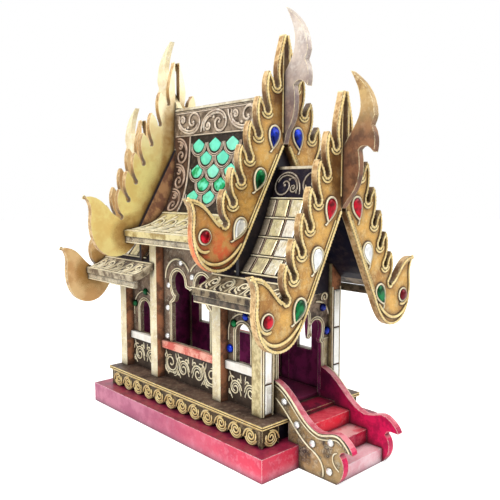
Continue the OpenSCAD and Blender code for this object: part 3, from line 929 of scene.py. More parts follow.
class Palette:
    """All the finishes of the house, made once."""

    def __init__(self) -> None:
        """Build the groups and the materials."""
        for make in (make_patina, make_hollow_shade, make_edge_rub, make_cord_shade):
            make()
        self.finishes = {f.name: f.build() for f in self.recipes()}

    def recipes(self) -> tuple[Finish | MirrorFinish | GlassFinish, ...]:
        """List the finishes.

        Returns:
            Every finish, with its second paints in the order in which they are laid.
        """
        maroon = SecondPaint(Where.INSIDE, (0.34, 0.040, 0.18), (0.17, 0.024, 0.10))
        inward = SecondPaint(Where.INWARD, maroon.colour, maroon.dark)
        backs = SecondPaint(Where.BACKS, (1.0, 0.92, 0.66), (0.96, 0.82, 0.50), 0.97, fine=30.0)
        yellow = SecondPaint(Where.BACKS, (1.0, 0.82, 0.30), (0.90, 0.64, 0.20), 0.92, 0.300, 0.050,
                             Where.BELOW, fine=30.0)
        low_backs = SecondPaint(Where.BACKS, (0.90, 0.64, 0.32), (0.72, 0.42, 0.18), 0.95, fine=35.0)
        sawn = SecondPaint(Where.EDGES, (0.70, 0.50, 0.26), (0.34, 0.19, 0.08), 0.85, fine=200.0)
        board = ((0.80, 0.46, 0.115), (0.36, 0.15, 0.038), (0.98, 0.78, 0.36))
        red_head = SecondPaint(Where.BELOW, (0.86, 0.14, 0.055), (0.74, 0.36, 0.12), 0.9, 0.203, 0.020)
        gilt = {"edge": (0.96, 0.86, 0.54), "metallic": 0.2, "scale": 42.0, "rub": 0.45, "specular": 0.35}
        # These two carry the colour of the painted shade beside cord and stones: dark for the front boards,
        # paler for the rear ones
        dark_shaded_gilt = {"patina": (0.120, 0.046, 0.012), **gilt}
        pale = {"patina": (0.40, 0.21, 0.055), **gilt}
        # The red finishes get a crimson painted shade in their hollows
        red = {"grime": (0.045, 0.003, 0.014), "scale": 38.0, "rub": 0.35, "roughness": (0.28, 0.5),
               "coat": 0.2}
        return (
            Finish("gilt_boards", *board, others=(backs, sawn), **dark_shaded_gilt),
            Finish("gilt_boards_red_head", *board, others=(backs, sawn, red_head), **dark_shaded_gilt),
            Finish("gilt_boards_brown_back", *board, others=(low_backs, sawn), **pale),
            Finish("gilt_boards_pale_back", *board, others=(backs, yellow, sawn), **pale),
            Finish("low_finials", (0.62, 0.42, 0.17), (0.19, 0.085, 0.03), (0.90, 0.74, 0.42), others=(
                SecondPaint(Where.BELOW, (0.22, 0.090, 0.045), (0.09, 0.034, 0.022), 0.92, 0.302,
                            0.026),), **gilt),
            Finish("high_finials", (0.66, 0.56, 0.48), (0.30, 0.23, 0.22), (0.92, 0.87, 0.78), others=(
                SecondPaint(Where.BELOW, (0.28, 0.18, 0.14), (0.12, 0.070, 0.070), 0.85, 0.335,
                            0.030),), **gilt),
            Finish("pale_finials", (0.90, 0.80, 0.52), (0.64, 0.48, 0.24), (0.98, 0.94, 0.80), **gilt),
            Finish("cord_gold", (0.90, 0.70, 0.30), (0.54, 0.31, 0.08), (0.98, 0.91, 0.60),
                   grime=(0.07, 0.035, 0.013), metallic=0.15, scale=90.0, crevice=0.75, age=0.6,
                   specular=0.5),
            Finish("cord_cream", (0.90, 0.81, 0.56), (0.56, 0.41, 0.20), (0.98, 0.95, 0.82),
                   grime=(0.07, 0.045, 0.02), metallic=0.1, scale=90.0, crevice=0.75, age=0.5),
            Finish("scroll_beige", (0.68, 0.56, 0.43), (0.32, 0.22, 0.16), (0.94, 0.88, 0.78),
                   grime=(0.025, 0.016, 0.010), metallic=0.1, scale=90.0, others=(
                SecondPaint(Where.LONG, (0.46, 0.32, 0.235), (0.20, 0.12, 0.085), 0.85,
                            0.0512, 0.0006, Where.BELOW, 0.2945),)),
            Finish("scroll_grey", (0.42, 0.36, 0.29), (0.17, 0.12, 0.09), (0.82, 0.76, 0.62),
                   metallic=0.15, scale=90.0),
            Finish("wall_gold", (0.25, 0.175, 0.120), (0.030, 0.017, 0.012), (0.56, 0.48, 0.37),
                   edge=(0.66, 0.57, 0.40), metallic=0.1, scale=70.0, others=(
                # Painted shade: the wall is dark below the sills, where the dado lies in its recess
                SecondPaint(Where.BELOW, (0.050, 0.032, 0.022), (0.018, 0.011, 0.008), 0.9,
                            0.0725), maroon)),
            Finish("door_gold", (0.60, 0.50, 0.29), (0.22, 0.155, 0.075), (0.90, 0.82, 0.60),
                   edge=(0.90, 0.82, 0.60), metallic=0.1, scale=90.0, others=(
                SecondPaint(Where.ABOVE, (0.30, 0.215, 0.155), (0.040, 0.023, 0.017), 0.95,
                            0.098), maroon)),
            Finish("post_cream", (0.84, 0.75, 0.50), (0.52, 0.38, 0.19), (0.96, 0.93, 0.82),
                   edge=(0.34, 0.20, 0.09), scale=70.0, age=0.6, others=(
                SecondPaint(Where.AHEAD, (0.68, 0.58, 0.31), (0.36, 0.27, 0.11), 0.9,
                            -0.0955, fine=150.0),
                # Rust brown on the faces that look to the front: partly the posts' own paint, partly painted
                # shade for the side that gets less light
                SecondPaint(Where.FRONTWARD, (0.46, 0.17, 0.075), (0.14, 0.052, 0.028), 0.95),
                inward)),
            Finish("sill_white", (0.88, 0.86, 0.80), (0.66, 0.56, 0.42), (0.96, 0.95, 0.92),
                   scale=80.0, age=0.4, rub=0.3, others=(
                SecondPaint(Where.MIDDLE_BAY, (0.84, 0.42, 0.32), (0.62, 0.12, 0.09)),)),
            Finish("black_lacquer", (0.008, 0.008, 0.020), (0.026, 0.016, 0.024), (0.07, 0.055, 0.06),
                   grime=(0.004, 0.003, 0.004), scale=50.0, rub=0.3, roughness=(0.3, 0.5), others=(
                SecondPaint(Where.BACKS, (0.50, 0.27, 0.13), (0.24, 0.11, 0.07), 1.0, 0.141, 0.002,
                            Where.ABOVE),)),
            Finish("main_roof_paint", (0.022, 0.014, 0.010), (0.010, 0.007, 0.006), (0.10, 0.07, 0.05),
                   edge=(0.80, 0.72, 0.52), metallic=0.1, scale=60.0, others=(
                SecondPaint(Where.LONG, (0.105, 0.056, 0.036), (0.030, 0.015, 0.011), 1.0, 0.0499),
                SecondPaint(Where.ABOVE, (0.34, 0.26, 0.185), (0.11, 0.075, 0.048), 1.0, 0.2947),
                SecondPaint(Where.WIDE, (0.70, 0.61, 0.32), (0.36, 0.26, 0.10), 1.0, 0.0238))),
            Finish("low_roof_paint", (0.008, 0.008, 0.020), (0.018, 0.012, 0.020), (0.05, 0.04, 0.04),
                   edge=(0.62, 0.54, 0.36), scale=60.0, roughness=(0.35, 0.55), specular=0.15, others=(
                SecondPaint(Where.WIDE, (0.26, 0.20, 0.12), (0.035, 0.024, 0.018), 1.0, 0.0538),
                SecondPaint(Where.WIDE, (0.58, 0.50, 0.35), (0.20, 0.15, 0.10), 0.85,
                            0.0538, 0.0006, Where.REARWARD, 0.02))),
            Finish("fascia_paint", (0.54, 0.46, 0.32), (0.060, 0.038, 0.028), (0.92, 0.86, 0.68),
                   edge=(0.96, 0.91, 0.74), scale=75.0, age=1.0, others=(
                SecondPaint(Where.BELOW, (0.15, 0.105, 0.070), (0.020, 0.014, 0.012), 0.9,
                            0.1468, 0.0010, Where.AHEAD, -0.04, fine=140.0),)),
            Finish("red_lacquer", (0.86, 0.030, 0.060), (0.50, 0.012, 0.034), (0.92, 0.22, 0.26),
                   edge=(0.94, 0.60, 0.58), others=(
                SecondPaint(Where.UPWARD, (0.82, 0.12, 0.15), (0.66, 0.035, 0.065), 0.8),), **red),
            Finish("worn_red", (0.60, 0.018, 0.060), (0.28, 0.010, 0.045), (0.88, 0.20, 0.26),
                   edge=(0.94, 0.70, 0.68), others=(
                SecondPaint(Where.UPWARD, (0.88, 0.50, 0.48), (0.74, 0.12, 0.15), 0.9,
                            fine=70.0),), **red),
            Finish("faded_red", (0.78, 0.036, 0.090), (0.55, 0.020, 0.062), (0.90, 0.30, 0.40), age=0.6,
                   edge=(0.94, 0.70, 0.72), others=(
                SecondPaint(Where.BELOW, (0.86, 0.42, 0.52), (0.78, 0.16, 0.26), 0.6,
                            0.004, 0.008, fine=40.0),
                SecondPaint(Where.REARWARD, (0.54, 0.17, 0.27), (0.38, 0.080, 0.17), 0.95,
                            -0.045, 0.11, fine=28.0),
                SecondPaint(Where.UPWARD, (0.32, 0.020, 0.060), (0.18, 0.012, 0.040), 0.9)),
                   **red),
            Finish("worn_pink", (0.93, 0.66, 0.70), (0.82, 0.36, 0.42), (0.98, 0.92, 0.92),
                   edge=(0.97, 0.90, 0.90), **red),
            Finish("hall_floor", (0.29, 0.042, 0.12), (0.12, 0.022, 0.070), (0.40, 0.09, 0.17), **red),
            Finish("apron_gold", (0.090, 0.060, 0.030), (0.020, 0.012, 0.009), (0.38, 0.28, 0.14),
                   edge=(0.86, 0.72, 0.38), metallic=0.15, scale=60.0),
            Finish("plinth_brown", (0.115, 0.066, 0.046), (0.020, 0.011, 0.010), (0.33, 0.24, 0.17),
                   edge=(0.86, 0.72, 0.38), scale=60.0, others=(
                SecondPaint(Where.LANDING, (0.36, 0.016, 0.055), (0.14, 0.010, 0.032)),)),
            Finish("cheek_gold", (0.42, 0.28, 0.125), (0.036, 0.028, 0.030), (0.88, 0.76, 0.52),
                   age=1.0, rub=0.38, edge=(0.92, 0.62, 0.60), metallic=0.1, scale=75.0, others=(
                # Painted shade: the outer faces go dark navy at the back foot, where the cheek meets the
                # plinth
                SecondPaint(Where.REARWARD, (0.13, 0.095, 0.080), (0.028, 0.024, 0.036), 0.75,
                            -0.126, 0.010, Where.BELOW, 0.046),
                SecondPaint(Where.NOT_OUTER, (0.70, 0.012, 0.100), (0.42, 0.008, 0.066)),
                # Painted shade: the inner faces darken to deep purple towards the doorway, between the cheeks
                SecondPaint(Where.NOT_OUTER, (0.15, 0.008, 0.050), (0.065, 0.006, 0.032), 0.95,
                            -0.138, 0.022, Where.REARWARD),
                SecondPaint(Where.UPWARD, (0.82, 0.36, 0.38), (0.68, 0.12, 0.16), 0.7))),
            Finish("cap_cream", (0.72, 0.66, 0.50), (0.36, 0.27, 0.16), (0.90, 0.86, 0.74),
                   edge=(0.30, 0.20, 0.12), scale=60.0),
            # The near-white colour of the mirror strips is a painted reflection of the bright surroundings
            Finish("mirror_strip", (0.90, 0.90, 0.86), (0.64, 0.60, 0.48), (0.97, 0.97, 0.95),
                   metallic=0.3, scale=80.0, age=0.5, roughness=(0.12, 0.3), bump=0.1, specular=0.5),
            # The cream and white tones of the mirror tiles are painted reflection; the grey-brown is aged
            # silvering
            MirrorFinish("mirror_tiles", ((0.40, 0.33, 0.24), (0.78, 0.68, 0.38), (0.88, 0.87, 0.78))),
            GlassFinish("glass_green", Glass.GREEN, 0.5),
            GlassFinish("glass_blue", Glass.BLUE, 0.45),
            GlassFinish("glass_red", Glass.RED, 0.45),
            GlassFinish("glass_clear", Glass.CLEAR, 0.5, deep=0.8),
            GlassFinish("glass_teal", Glass.TEAL, 0.25, deep=0.8, few=(0.012, 0.36, 0.12)),
        )

    def dress(self, finish: str, *nodes: str) -> None:
        """Give nodes of the frame a finish.

        Args:
            finish: The finish.
            *nodes: The nodes' names.
        """
        for node in nodes:
            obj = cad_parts[node]
            obj.data.materials.clear()
            obj.data.materials.append(self.finishes[finish])
            LOG.info("%s wears %s", node, finish)


# Sizes of the building, as in its source


@dataclass(frozen=True)
class House:
    """The sizes that more than one sub-assembly needs."""

    plinth_w: float = 132.0
    plinth_l: float = 248.0
    plinth_z: float = 40.8
    core_x: float = 60.0
    core_y: float = 118.0
    base_t: float = 20.6
    hall_x: float = 52.5
    wall_x: float = 43.0
    sill_z: float = 80.3
    sill_t: float = 7.5
    front_wall_y: float = 106.0
    rear_wall_y: float = 119.0
    post_y: float = 110.0
    board_t: float = 6.0
    panel: float = 1.0
    main_half_l: float = 80.0
    low_half_l: float = 148.0
    main_profile: tuple[Point, ...] = ((2.84, 322.8), (4.97, 215.28), (19.88, 199.8), (71.0, 194.8))
    low_profile: tuple[Point, ...] = ((3.16, 256.8), (11.85, 231.12), (34.76, 153.8), (79.0, 149.8))
    low_tip_z: float = 224.8
    main_tip_z: float = 281.8


HOUSE = House()


# Inlay: cabochons, beads and their bezels


def pear_outline(half_w: float, half_l: float, grow: float = 0.0, n: int = 26) -> list[Point]:
    """Return a pear outline with its point downward.

    Args:
        half_w: Half its width.
        half_l: Half its length.
        grow: A distance added all round.
        n: The number of points.

    Returns:
        The closed outline, without a repeated point.
    """
    out = []
    for i in range(n):
        a = 2 * math.pi * i / n
        s = abs(math.sin(a / 2)) ** 1.1
        x, y = 1.04 * half_w * math.sin(a) * s, -half_l * math.cos(a)
        r = math.hypot(x, y) or 1.0
        out.append((x + grow * x / r * 1.1, y + grow * y / r))
    return out


# The steps of a cut stone: the rise as a share of its height, and how far it narrows
CUT = ((0.55, 0.97), (0.30, 0.80), (0.15, 0.62))
def make_gem(outline: Sequence[Point], height: float) -> bpy.types.Object:
    """Model a cut stone on the XY plane.

    Args:
        outline: Its outline in millimetres.
        height: Its height in millimetres.

    Returns:
        The stone, a closed mesh with a girdle, a bevelled shoulder and a table.
    """
    deselect()
    n = len(outline)
    bpy.ops.mesh.primitive_circle_add(vertices=n, radius=MM, fill_type="NGON")
    obj = bpy.context.object
    for v, p in zip(obj.data.vertices, outline):
        v.co = (p[0] * MM, p[1] * MM, 0)
    select_faces(obj, lambda f: True)
    bpy.ops.mesh.normals_make_consistent(inside=False)
    for rise, narrow in CUT:
        bpy.ops.mesh.extrude_region_move(TRANSFORM_OT_translate={"value": (0, 0, rise * height * MM)})
        bpy.ops.transform.resize(value=(narrow, narrow, 1))
    bpy.ops.mesh.select_all(action="SELECT")
    bpy.ops.mesh.normals_make_consistent(inside=False)
    bpy.ops.object.mode_set(mode="OBJECT")
    return obj


def make_bead(radius: float) -> bpy.types.Object:
    """Model a flattened round bead that sits on the XY plane.

    Args:
        radius: Its radius.

    Returns:
        The bead.
    """
    deselect()
    bpy.ops.mesh.primitive_uv_sphere_add(segments=12, ring_count=8, radius=radius * MM)
    obj = bpy.context.object
    obj.scale = (1, 1, 0.62)
    settle(obj)
    return obj


def ring(radius: float) -> Line:
    """Return the closed outline of a round stone."""
    return arc(0, 0, radius, 0, 345, 23)


@dataclass
class Inlay:
    """Stones and beads by colour, with their bezels, made in one go."""

    pear_size: Point = (7.0, 9.2)
    pear_h: float = 2.6
    pear_tail: tuple[Point, ...] = ((0.2, -9.9), (-0.4, -11.8), (-1.5, -13.4), (-2.9, -13.8))
    round_r: float = 5.2
    round_h: float = 3.4
    round_bezel_r: float = 6.0
    bead_r: float = 4.0
    clear_bead_r: float = 3.2
    pears: dict[Glass, list[Matrix]] = field(default_factory=dict)
    rounds: dict[Glass, list[Matrix]] = field(default_factory=dict)
    beads: dict[Glass, list[Matrix]] = field(default_factory=dict)
    bezels: CordWork = field(default_factory=lambda: CordWork(1.05))

    def trim(self, m: Matrix, points: Line, h: float, closed: bool, weight: float) -> None:
        """Lay bezel cord about a stone placed by m, its middle at a height h."""
        stroke = [m @ Vector((x * MM, y * MM, h * MM)) for x, y in points]
        self.bezels.strokes.append((stroke, closed, weight))

    def pear(self, face: Face, u: float, v: float, colour: Glass, turn: float = 0.0) -> None:
        """Set a pear stone in a bezel with a small tail.

        Args:
            face: The surface.
            u: The first coordinate on the face.
            v: The second coordinate on the face.
            colour: The stone's colour.
            turn: Its turn in degrees.
        """
        m = seat_matrix(face, u, v, 0.0, turn)
        self.pears.setdefault(colour, []).append(m)
        self.trim(m, pear_outline(*self.pear_size, 1.0), 0.5, True, 1.0)
        self.trim(m, list(self.pear_tail), 0.3, False, 0.8)

    def round(self, face: Face, u: float, v: float, colour: Glass) -> None:
        """Set a round stone in a bezel.

        Args:
            face: The surface.
            u: The first coordinate on the face.
            v: The second coordinate on the face.
            colour: The stone's colour.
        """
        m = seat_matrix(face, u, v)
        self.rounds.setdefault(colour, []).append(m)
        self.trim(m, ring(self.round_bezel_r), 0.4, True, 0.95)

    def bead(self, face: Face, u: float, v: float, colour: Glass) -> None:
        """Set a small bead, half sunk in its paste."""
        self.beads.setdefault(colour, []).append(seat_matrix(face, u, v, 0.6))

    def make(self) -> None:
        """Make every stone, bead and bezel."""
        for label, store, model in (
            ("pear_stones", self.pears, lambda c: make_gem(pear_outline(*self.pear_size), self.pear_h)),
            ("round_stones", self.rounds, lambda c: make_gem(ring(self.round_r), self.round_h)),
            ("wall_beads", self.beads,
             lambda c: make_bead(self.clear_bead_r if c is Glass.CLEAR else self.bead_r)),
        ):
            for colour, places in store.items():
                word = colour.name.lower()
                finish_piece(copies(model(colour), places), f"{label}_{word}",
                             f"glass_{word}", smooth=label != "pear_stones")
        self.bezels.make("stone_bezels", "cord_cream")


# Scroll patterns on a flat strip, u along it and v across it


def shares(u: float, pitch: float, height: float, points: Sequence[Point]) -> Line:
    """Place points that are given as shares of a pitch and a height."""
    return [(u + a * pitch, b * height) for a, b in points]


def running_scrolls(length: float, height: float, count: int, turns: float) -> list[Line]:
    """Return a running vine of scrolls that fills a strip.

    Args:
        length: The strip's length.
        height: The strip's width.
        count: The number of scrolls.
        turns: The turns of each scroll.

    Returns:
        Lines that start at u = 0 and v = 0 and stay inside the strip.
    """
    pitch = length / count
    r = min(0.40 * height, 0.46 * pitch)
    lines = []
    for i in range(count):
        flip = 1 if i % 2 == 0 else -1
        cx, cy = (i + 0.5) * pitch, height / 2 - flip * 0.06 * height
        eye = spiral(cx, cy, r, 180, -flip * turns)
        stem_v = height / 2 + flip * 0.34 * height
        stem = curve([(i * pitch - 0.05 * pitch, height / 2 - flip * 0.3 * height),
                      (cx - 1.25 * r, cy - flip * 0.5 * r), (cx - 1.08 * r, cy - flip * 0.2 * r), eye[0]], 6)
        lines.append(stem + eye[1:])
        lines.append(curve([(cx + 0.2 * r, cy + flip * 1.12 * r),
                            (cx + 0.7 * r, stem_v + flip * 0.06 * height), (cx + 1.1 * r, stem_v),
                            (min((i + 1) * pitch, length), height / 2 + flip * 0.12 * height)], 6))
        lines.append(curve([(cx - 0.95 * r, cy + flip * 0.75 * r), (cx - 0.8 * r, cy + flip * 1.2 * r),
                            (cx - 0.45 * r, cy + flip * 1.2 * r), (cx - 0.35 * r, cy + flip * 0.95 * r)], 5))
        lines.append(curve([(cx + 0.75 * r, cy - flip * 0.8 * r), (cx + 1.1 * r, cy - flip * 0.9 * r),
                            (cx + 1.15 * r, cy - flip * 0.5 * r), (cx + 0.9 * r, cy - flip * 0.4 * r)], 5))
    return lines


def hoop_scrolls(pitch: float, height: float, count: int) -> tuple[list[Line], Line]:
    """Return the roof frieze: big cups and arches of double cord with curls inside.

    Args:
        pitch: The width of one cup or arch.
        height: The strip's width.
        count: The number of cups and arches together.

    Returns:
        The lines, and the places of the bosses in the eyes of the curls.
    """
    lines, bosses = [], []
    for i in range(count):
        flip = 1 if i % 2 == 0 else -1
        centre = (i + 0.5) * pitch

        def put(line: Sequence[Point]) -> Line:
            """Place a line drawn from the cup's middle and its open side."""
            return [(centre + u, height * 0.5 + flip * (v - height * 0.5)) for u, v in line]

        cup = curve(shares(0, pitch, height, ((-0.53, 0.02), (-0.46, 1.24), (0.40, 1.30), (0.42, 0.42))), 14)
        curl = [(0.42 * pitch - 0.56 * height + x, 0.42 * height + y)
                for x, y in spiral(0, 0, 0.56 * height, 0, -0.9, 14)]
        leaf = shares(0, pitch, height, ((-0.40, 0.06), (-0.42, 0.66), (-0.28, 0.84), (-0.12, 0.74)))
        lines.append(put(cup + curl[1:]))
        lines.append(put(inset(cup, 2.6)[1:-1]))
        lines.append(put(spiral(-0.26 * pitch, 0.30 * height, 0.21 * height, 200, 1.3, 14)))
        lines.append(put(curve(leaf, 8)))
        bosses += put([(0.42 * pitch - 0.56 * height, 0.44 * height), (-0.26 * pitch, 0.30 * height),
                       (-0.06 * pitch, 0.70 * height)])
    return lines, bosses


def hook_scrolls(length: float, width: float, count: int) -> tuple[list[Line], Line]:
    """Return a column of hooked scrolls, u along it and v across it from the outer edge.

    Args:
        length: The column's length.
        width: The column's width.
        count: The number of hooks.

    Returns:
        The lines, and the places of the bosses.
    """
    pitch = length / count
    lines, bosses = [], []
    for i in range(count):
        u = i * pitch
        low = u + 0.70 * pitch
        hook = shares(u, pitch, width, ((0.02, 0.10), (-0.02, 1.05), (0.96, 1.08), (0.96, 0.45)))
        leaf = shares(u, pitch, width, ((0.12, 0.12), (0.12, 0.86), (0.70, 0.95), (0.80, 0.72)))
        lines.append(curve(hook, 14) + spiral(low, 0.45 * width, 0.26 * pitch, 0, -1.0, 12)[1:])
        lines.append(curve(leaf, 10))
        lines.append(spiral(u + 0.28 * pitch, 0.38 * width, 0.15 * pitch, -60, 1.1, 10))
        bosses += [(low, 0.45 * width), (u + 0.28 * pitch, 0.38 * width)]
    return lines, bosses


# The curled leaves of an eave, as shares of their pitch and height, with their steps
LEAVES = (
    (8, ((0.04, 0.94), (0.02, 0.5), (0.15, 0.08), (0.48, 0.06))),
    (8, ((0.26, 0.94), (0.40, 0.66), (0.80, 0.78), (0.74, 0.40))),
    (6, ((0.60, 0.93), (0.84, 0.90), (1.00, 0.70), (0.90, 0.42))),
)
SLIT_PLACES = ((0.16, 0.66), (0.86, 0.60), (0.66, 0.24), (0.50, 0.86))
SLIT_TURNS = (10.0, 24.0, -40.0, 68.0)


def leaf_sprays(length: float, height: float, count: int) -> tuple[list[Line], list[tuple[Point, float]]]:
    """Return curled leaves that lean one way along a strip, for the eaves.

    Args:
        length: The strip's length.
        height: The strip's width.
        count: The number of leaves.

    Returns:
        Lines that start at u = 0 and v = 0 and stay inside the strip, and the place and
        turn of each cut slit between the leaves.
    """
    pitch = length / count
    lines, slits = [], []
    for i in range(count):
        u = i * pitch
        lines.append(spiral(u + 0.40 * pitch, 0.36 * height, 0.27 * height, 100, -1.3, 16))
        lines += [curve(shares(u, pitch, height, leaf), steps) for steps, leaf in LEAVES]
        slits += zip(shares(u, pitch, height, SLIT_PLACES), SLIT_TURNS)
    return lines, slits


def mirrored(line: Line) -> Line:
    """Return a line that ends at u = 0 together with its mirror image."""
    return line + [(-x, y) for x, y in line[-2::-1]]


# Sub-assemblies


@dataclass
class GableDress:
    """Cord, stones and finish of one pair of flame-edged gable boards with its finial."""

    palette: Palette
    inlay: Inlay
    end: End
    upper: bool
    notch_r: float = 2.6
    flames: int = 6
    ratio: float = 0.95
    spacing: float = 25.5
    first_notch: Point = (11.5, 47)
    rake: Point = (0.43, -0.903)
    upper_widening: float = 114.0 / 107.5

    def word(self) -> str:
        """Return the start of the nodes' names."""
        return ("upper_" if self.upper else "") + self.end.name.lower()

    def notches(self) -> Line:
        """Return the bottoms of the notches between the flames."""
        run = [self.spacing * (1 - self.ratio**k) / (1 - self.ratio) for k in range(self.flames + 1)]
        return [(self.first_notch[0] + self.rake[0] * s, self.first_notch[1] + self.rake[1] * s) for s in run]

    def top_edge(self, x0: float) -> Line:
        """Draw the flamed edge.

        Args:
            x0: Where the arm starts beside the middle.

        Returns:
            The line from the tall flame to the crest's tip.
        """
        notches = self.notches()
        first, last, r = notches[0], notches[-1], self.notch_r
        line = curve([(x0, 95), (8, 76), (13, 66), (first[0] - r, first[1] + r + 1.5)], 9)
        for a, b in zip(notches, notches[1:]):
            tip = (a[0] + 9, a[1] + 14)
            line += arc(a[0], a[1] + r, r, 180, 330, 5)
            line += curve([(a[0] + 2.6, a[1] + 3.4), (a[0] + 3.4, a[1] + 8),
                           (tip[0] - 2.6, tip[1] - 4), tip], 5)
            line += curve([tip, (tip[0] + 5, tip[1] - 8), (tip[0] + 4, tip[1] - 22),
                           (b[0] - r, b[1] + r + 1.5)], 7)[1:]
        line += arc(last[0], last[1] + r, r, 180, 300, 4)
        line += curve([(last[0] + 2, last[1] + 2), (84, -68), (88, -48), (107.5, -50.5)], 9)
        return line

    def low_edge(self, x0: float) -> tuple[Line, Line]:
        """Draw the rest of the outline.

        Args:
            x0: Where the arm starts beside the middle.

        Returns:
            The head from the crest's tip down, and the inner edge up to the middle.
        """
        head = curve([(107.5, -50.5), (100, -58), (101.5, -66), (102.5, -76)], 5)
        head += curve([(102.5, -76), (103, -98), (92, -113), (76, -113)], 9)[1:]
        head += curve([(76, -113), (62, -113), (54, -103), (46, -87)], 7)[1:]
        inner = curve([(46, -87), (34, -64), (16, -30), (x0, -1.7 * x0)], 9)
        return head, inner

    def stones(self) -> list[tuple[float, float, Glass, float]]:
        """Choose the three pear stones.

        Returns:
            The place, colour and tilt of each, in the arm's own drawing.
        """
        if self.upper:
            return [(14.9, 3.2, Glass.BLUE, 10), (32.2, -34.8, Glass.GREEN, 24),
                    (54.7, -77.2, Glass.CLEAR, 32)]
        return [(18.0, -2.5, Glass.RED, 16), (34.5, -43.0, Glass.CLEAR, 16), (55.4, -82.0, Glass.GREEN, 27)]

    def build(self) -> None:
        """Lay the cord and stones on both arms and dress the nodes."""
        word = self.word()
        half_l = HOUSE.main_half_l if self.upper else HOUSE.low_half_l
        tip_z = HOUSE.main_tip_z if self.upper else HOUSE.low_tip_z
        widen = self.upper_widening if self.upper else 1.0
        face = EndFace(self.end, half_l + HOUSE.board_t)
        x0 = 3.0 / widen
        edge, thick, ribbed = CordWork(1.3), CordWork(1.4), CordWork(0.85)
        top = self.top_edge(x0)
        head, inner = self.low_edge(x0)
        rim = curve([(96, -97), (88, -109), (68, -111), (52, -90)], 12)
        jaw = curve([(101.2, -78), (100.5, -90), (94, -97.5), (86, -94)], 10)
        for side in Side:
            def put(line: Sequence[Point]) -> Line:
                """Place a line of the drawing on this arm."""
                return [(side.value * widen * x, tip_z + z) for x, z in line]

            edge.twisted(face, put(inset(top, 1.5)), 0.3, 3.0)
            edge.twisted(face, put(inset(head, 1.4)), 0.3, 3.0)
            thick.twisted(face, put(inset(inner, 1.5)), 0.4, 3.0)
            ribbed.twisted(face, put(inset(inner, 4.0)[1:-1]), 0.2)
            ribbed.twisted(face, put([(x - 0.4, z - 3.6) for x, z in top[-9:-1]]), 0.2)
            edge.lay(face, put([(x0 + 1.2, 86), (x0 + 1.2, 8)]), 0.2, weight=0.7)
            thick.lay(face, put(rim), 0.3)
            edge.lay(face, put(jaw), 0.3)
            for x, z in self.notches()[:-1]:
                edge.lay(face, put(arc(x, z + 2.2, 6.4, 200, 345, 8)), 0.2, weight=0.8)
            for x, z, colour, tilt in self.stones():
                turn = -side.value * self.end.value * tilt
                self.inlay.pear(face, side.value * widen * x, tip_z + z, colour, turn)
            self.inlay.round(face, side.value * widen * 90.2, tip_z - (82 if self.upper else 86), Glass.RED)
            boards = {"rear": "gilt_boards_brown_back", "upper_rear": "gilt_boards_pale_back"}.get(
                word, "gilt_boards")
            if word == "upper_front" and side is Side.LEFT:
                boards = "gilt_boards_red_head"
            self.palette.dress(boards, f"{word}_board_{side.name.lower()}")
        for cord, name in ((edge, "cord"), (thick, "rims"), (ribbed, "ribs")):
            cord.make(f"{word}_board_{name}", "cord_gold")
        colour = "high_finials" if self.upper else "low_finials"
        self.palette.dress(colour if self.end is End.FRONT else "pale_finials", f"{word}_finial")


def make_slit() -> bpy.types.Object:
    """Model a leaf-shaped slit as a thin dark plate on the XY plane, which paints the shade inside a carved
    cut.

    Returns:
        The slit.
    """
    outline = [(1.6 * math.sin(math.pi * t), 5.0 * (2 * t - 1)) for t in (0.0, 0.2, 0.4, 0.6, 0.8, 1.0)]
    outline += [(-x, y) for x, y in outline[-2:0:-1]]
    return make_gem(outline, 0.35)


@dataclass(frozen=True)
class FriezeBand:
    """Cups and arches under a ridge, laid inward from the slope's end."""

    hoop: float
    hoops: int
    start: float
    run: float
    drop: float
    lift: float
    seat: float = 0.0
    sign: int = 1
    height: float = 20.5

    def at(self, u: float, v: float) -> Point:
        """Return where a point of the pattern lies on the slope."""
        return self.sign * (self.start - u), self.drop + v

    def lay(self, face: RoofFace, cord: CordWork, bosses: list[Matrix]) -> None:
        """Lay the band on a slope.

        Args:
            face: The slope.
            cord: Receives the strokes.
            bosses: Receives the bosses' places.
        """
        lines, eyes = hoop_scrolls(self.hoop, self.height, self.hoops)
        for line in lines:
            inside = [self.at(u, v) for u, v in line if 0 < u < self.run]
            if len(inside) > 2:
                cord.lay(face, inside, self.lift)
        bosses += [seat_matrix(face, *self.at(u, v), self.seat) for u, v in eyes if u < self.run - 2]


@dataclass(frozen=True)
class EaveBand:
    """Curled leaves and slits along an eave, between two rails."""

    near: float
    far: float
    top: float
    head: float
    foot: float
    leaves: int
    sign: int = 1
    tuck: float = 0.0

    def at(self, u: float, v: float) -> Point:
        """Return where a point of the pattern lies on the slope."""
        return self.sign * (self.far - 2 - u), self.top + self.head + v

    def lay(self, face: RoofFace, cord: CordWork, slits: list[Matrix]) -> None:
        """Lay the band on a slope.

        Args:
            face: The slope.
            cord: Receives the strokes.
            slits: Receives the slits' places.
        """
        length = face.length()
        lines, cuts = leaf_sprays(self.far - self.near - 4, length - self.top - self.foot, self.leaves)
        for line in lines:
            cord.lay(face, [self.at(u, v) for u, v in line], HOUSE.panel + 0.2)
        slits += [seat_matrix(face, *self.at(u, v), HOUSE.panel - 0.05, turn) for (u, v), turn in cuts]
        cord.rule(face, self.sign * (self.near + self.tuck), self.sign * (self.far - self.tuck),
                  (self.top + 0.5, length - 1.3), HOUSE.panel + 0.1)


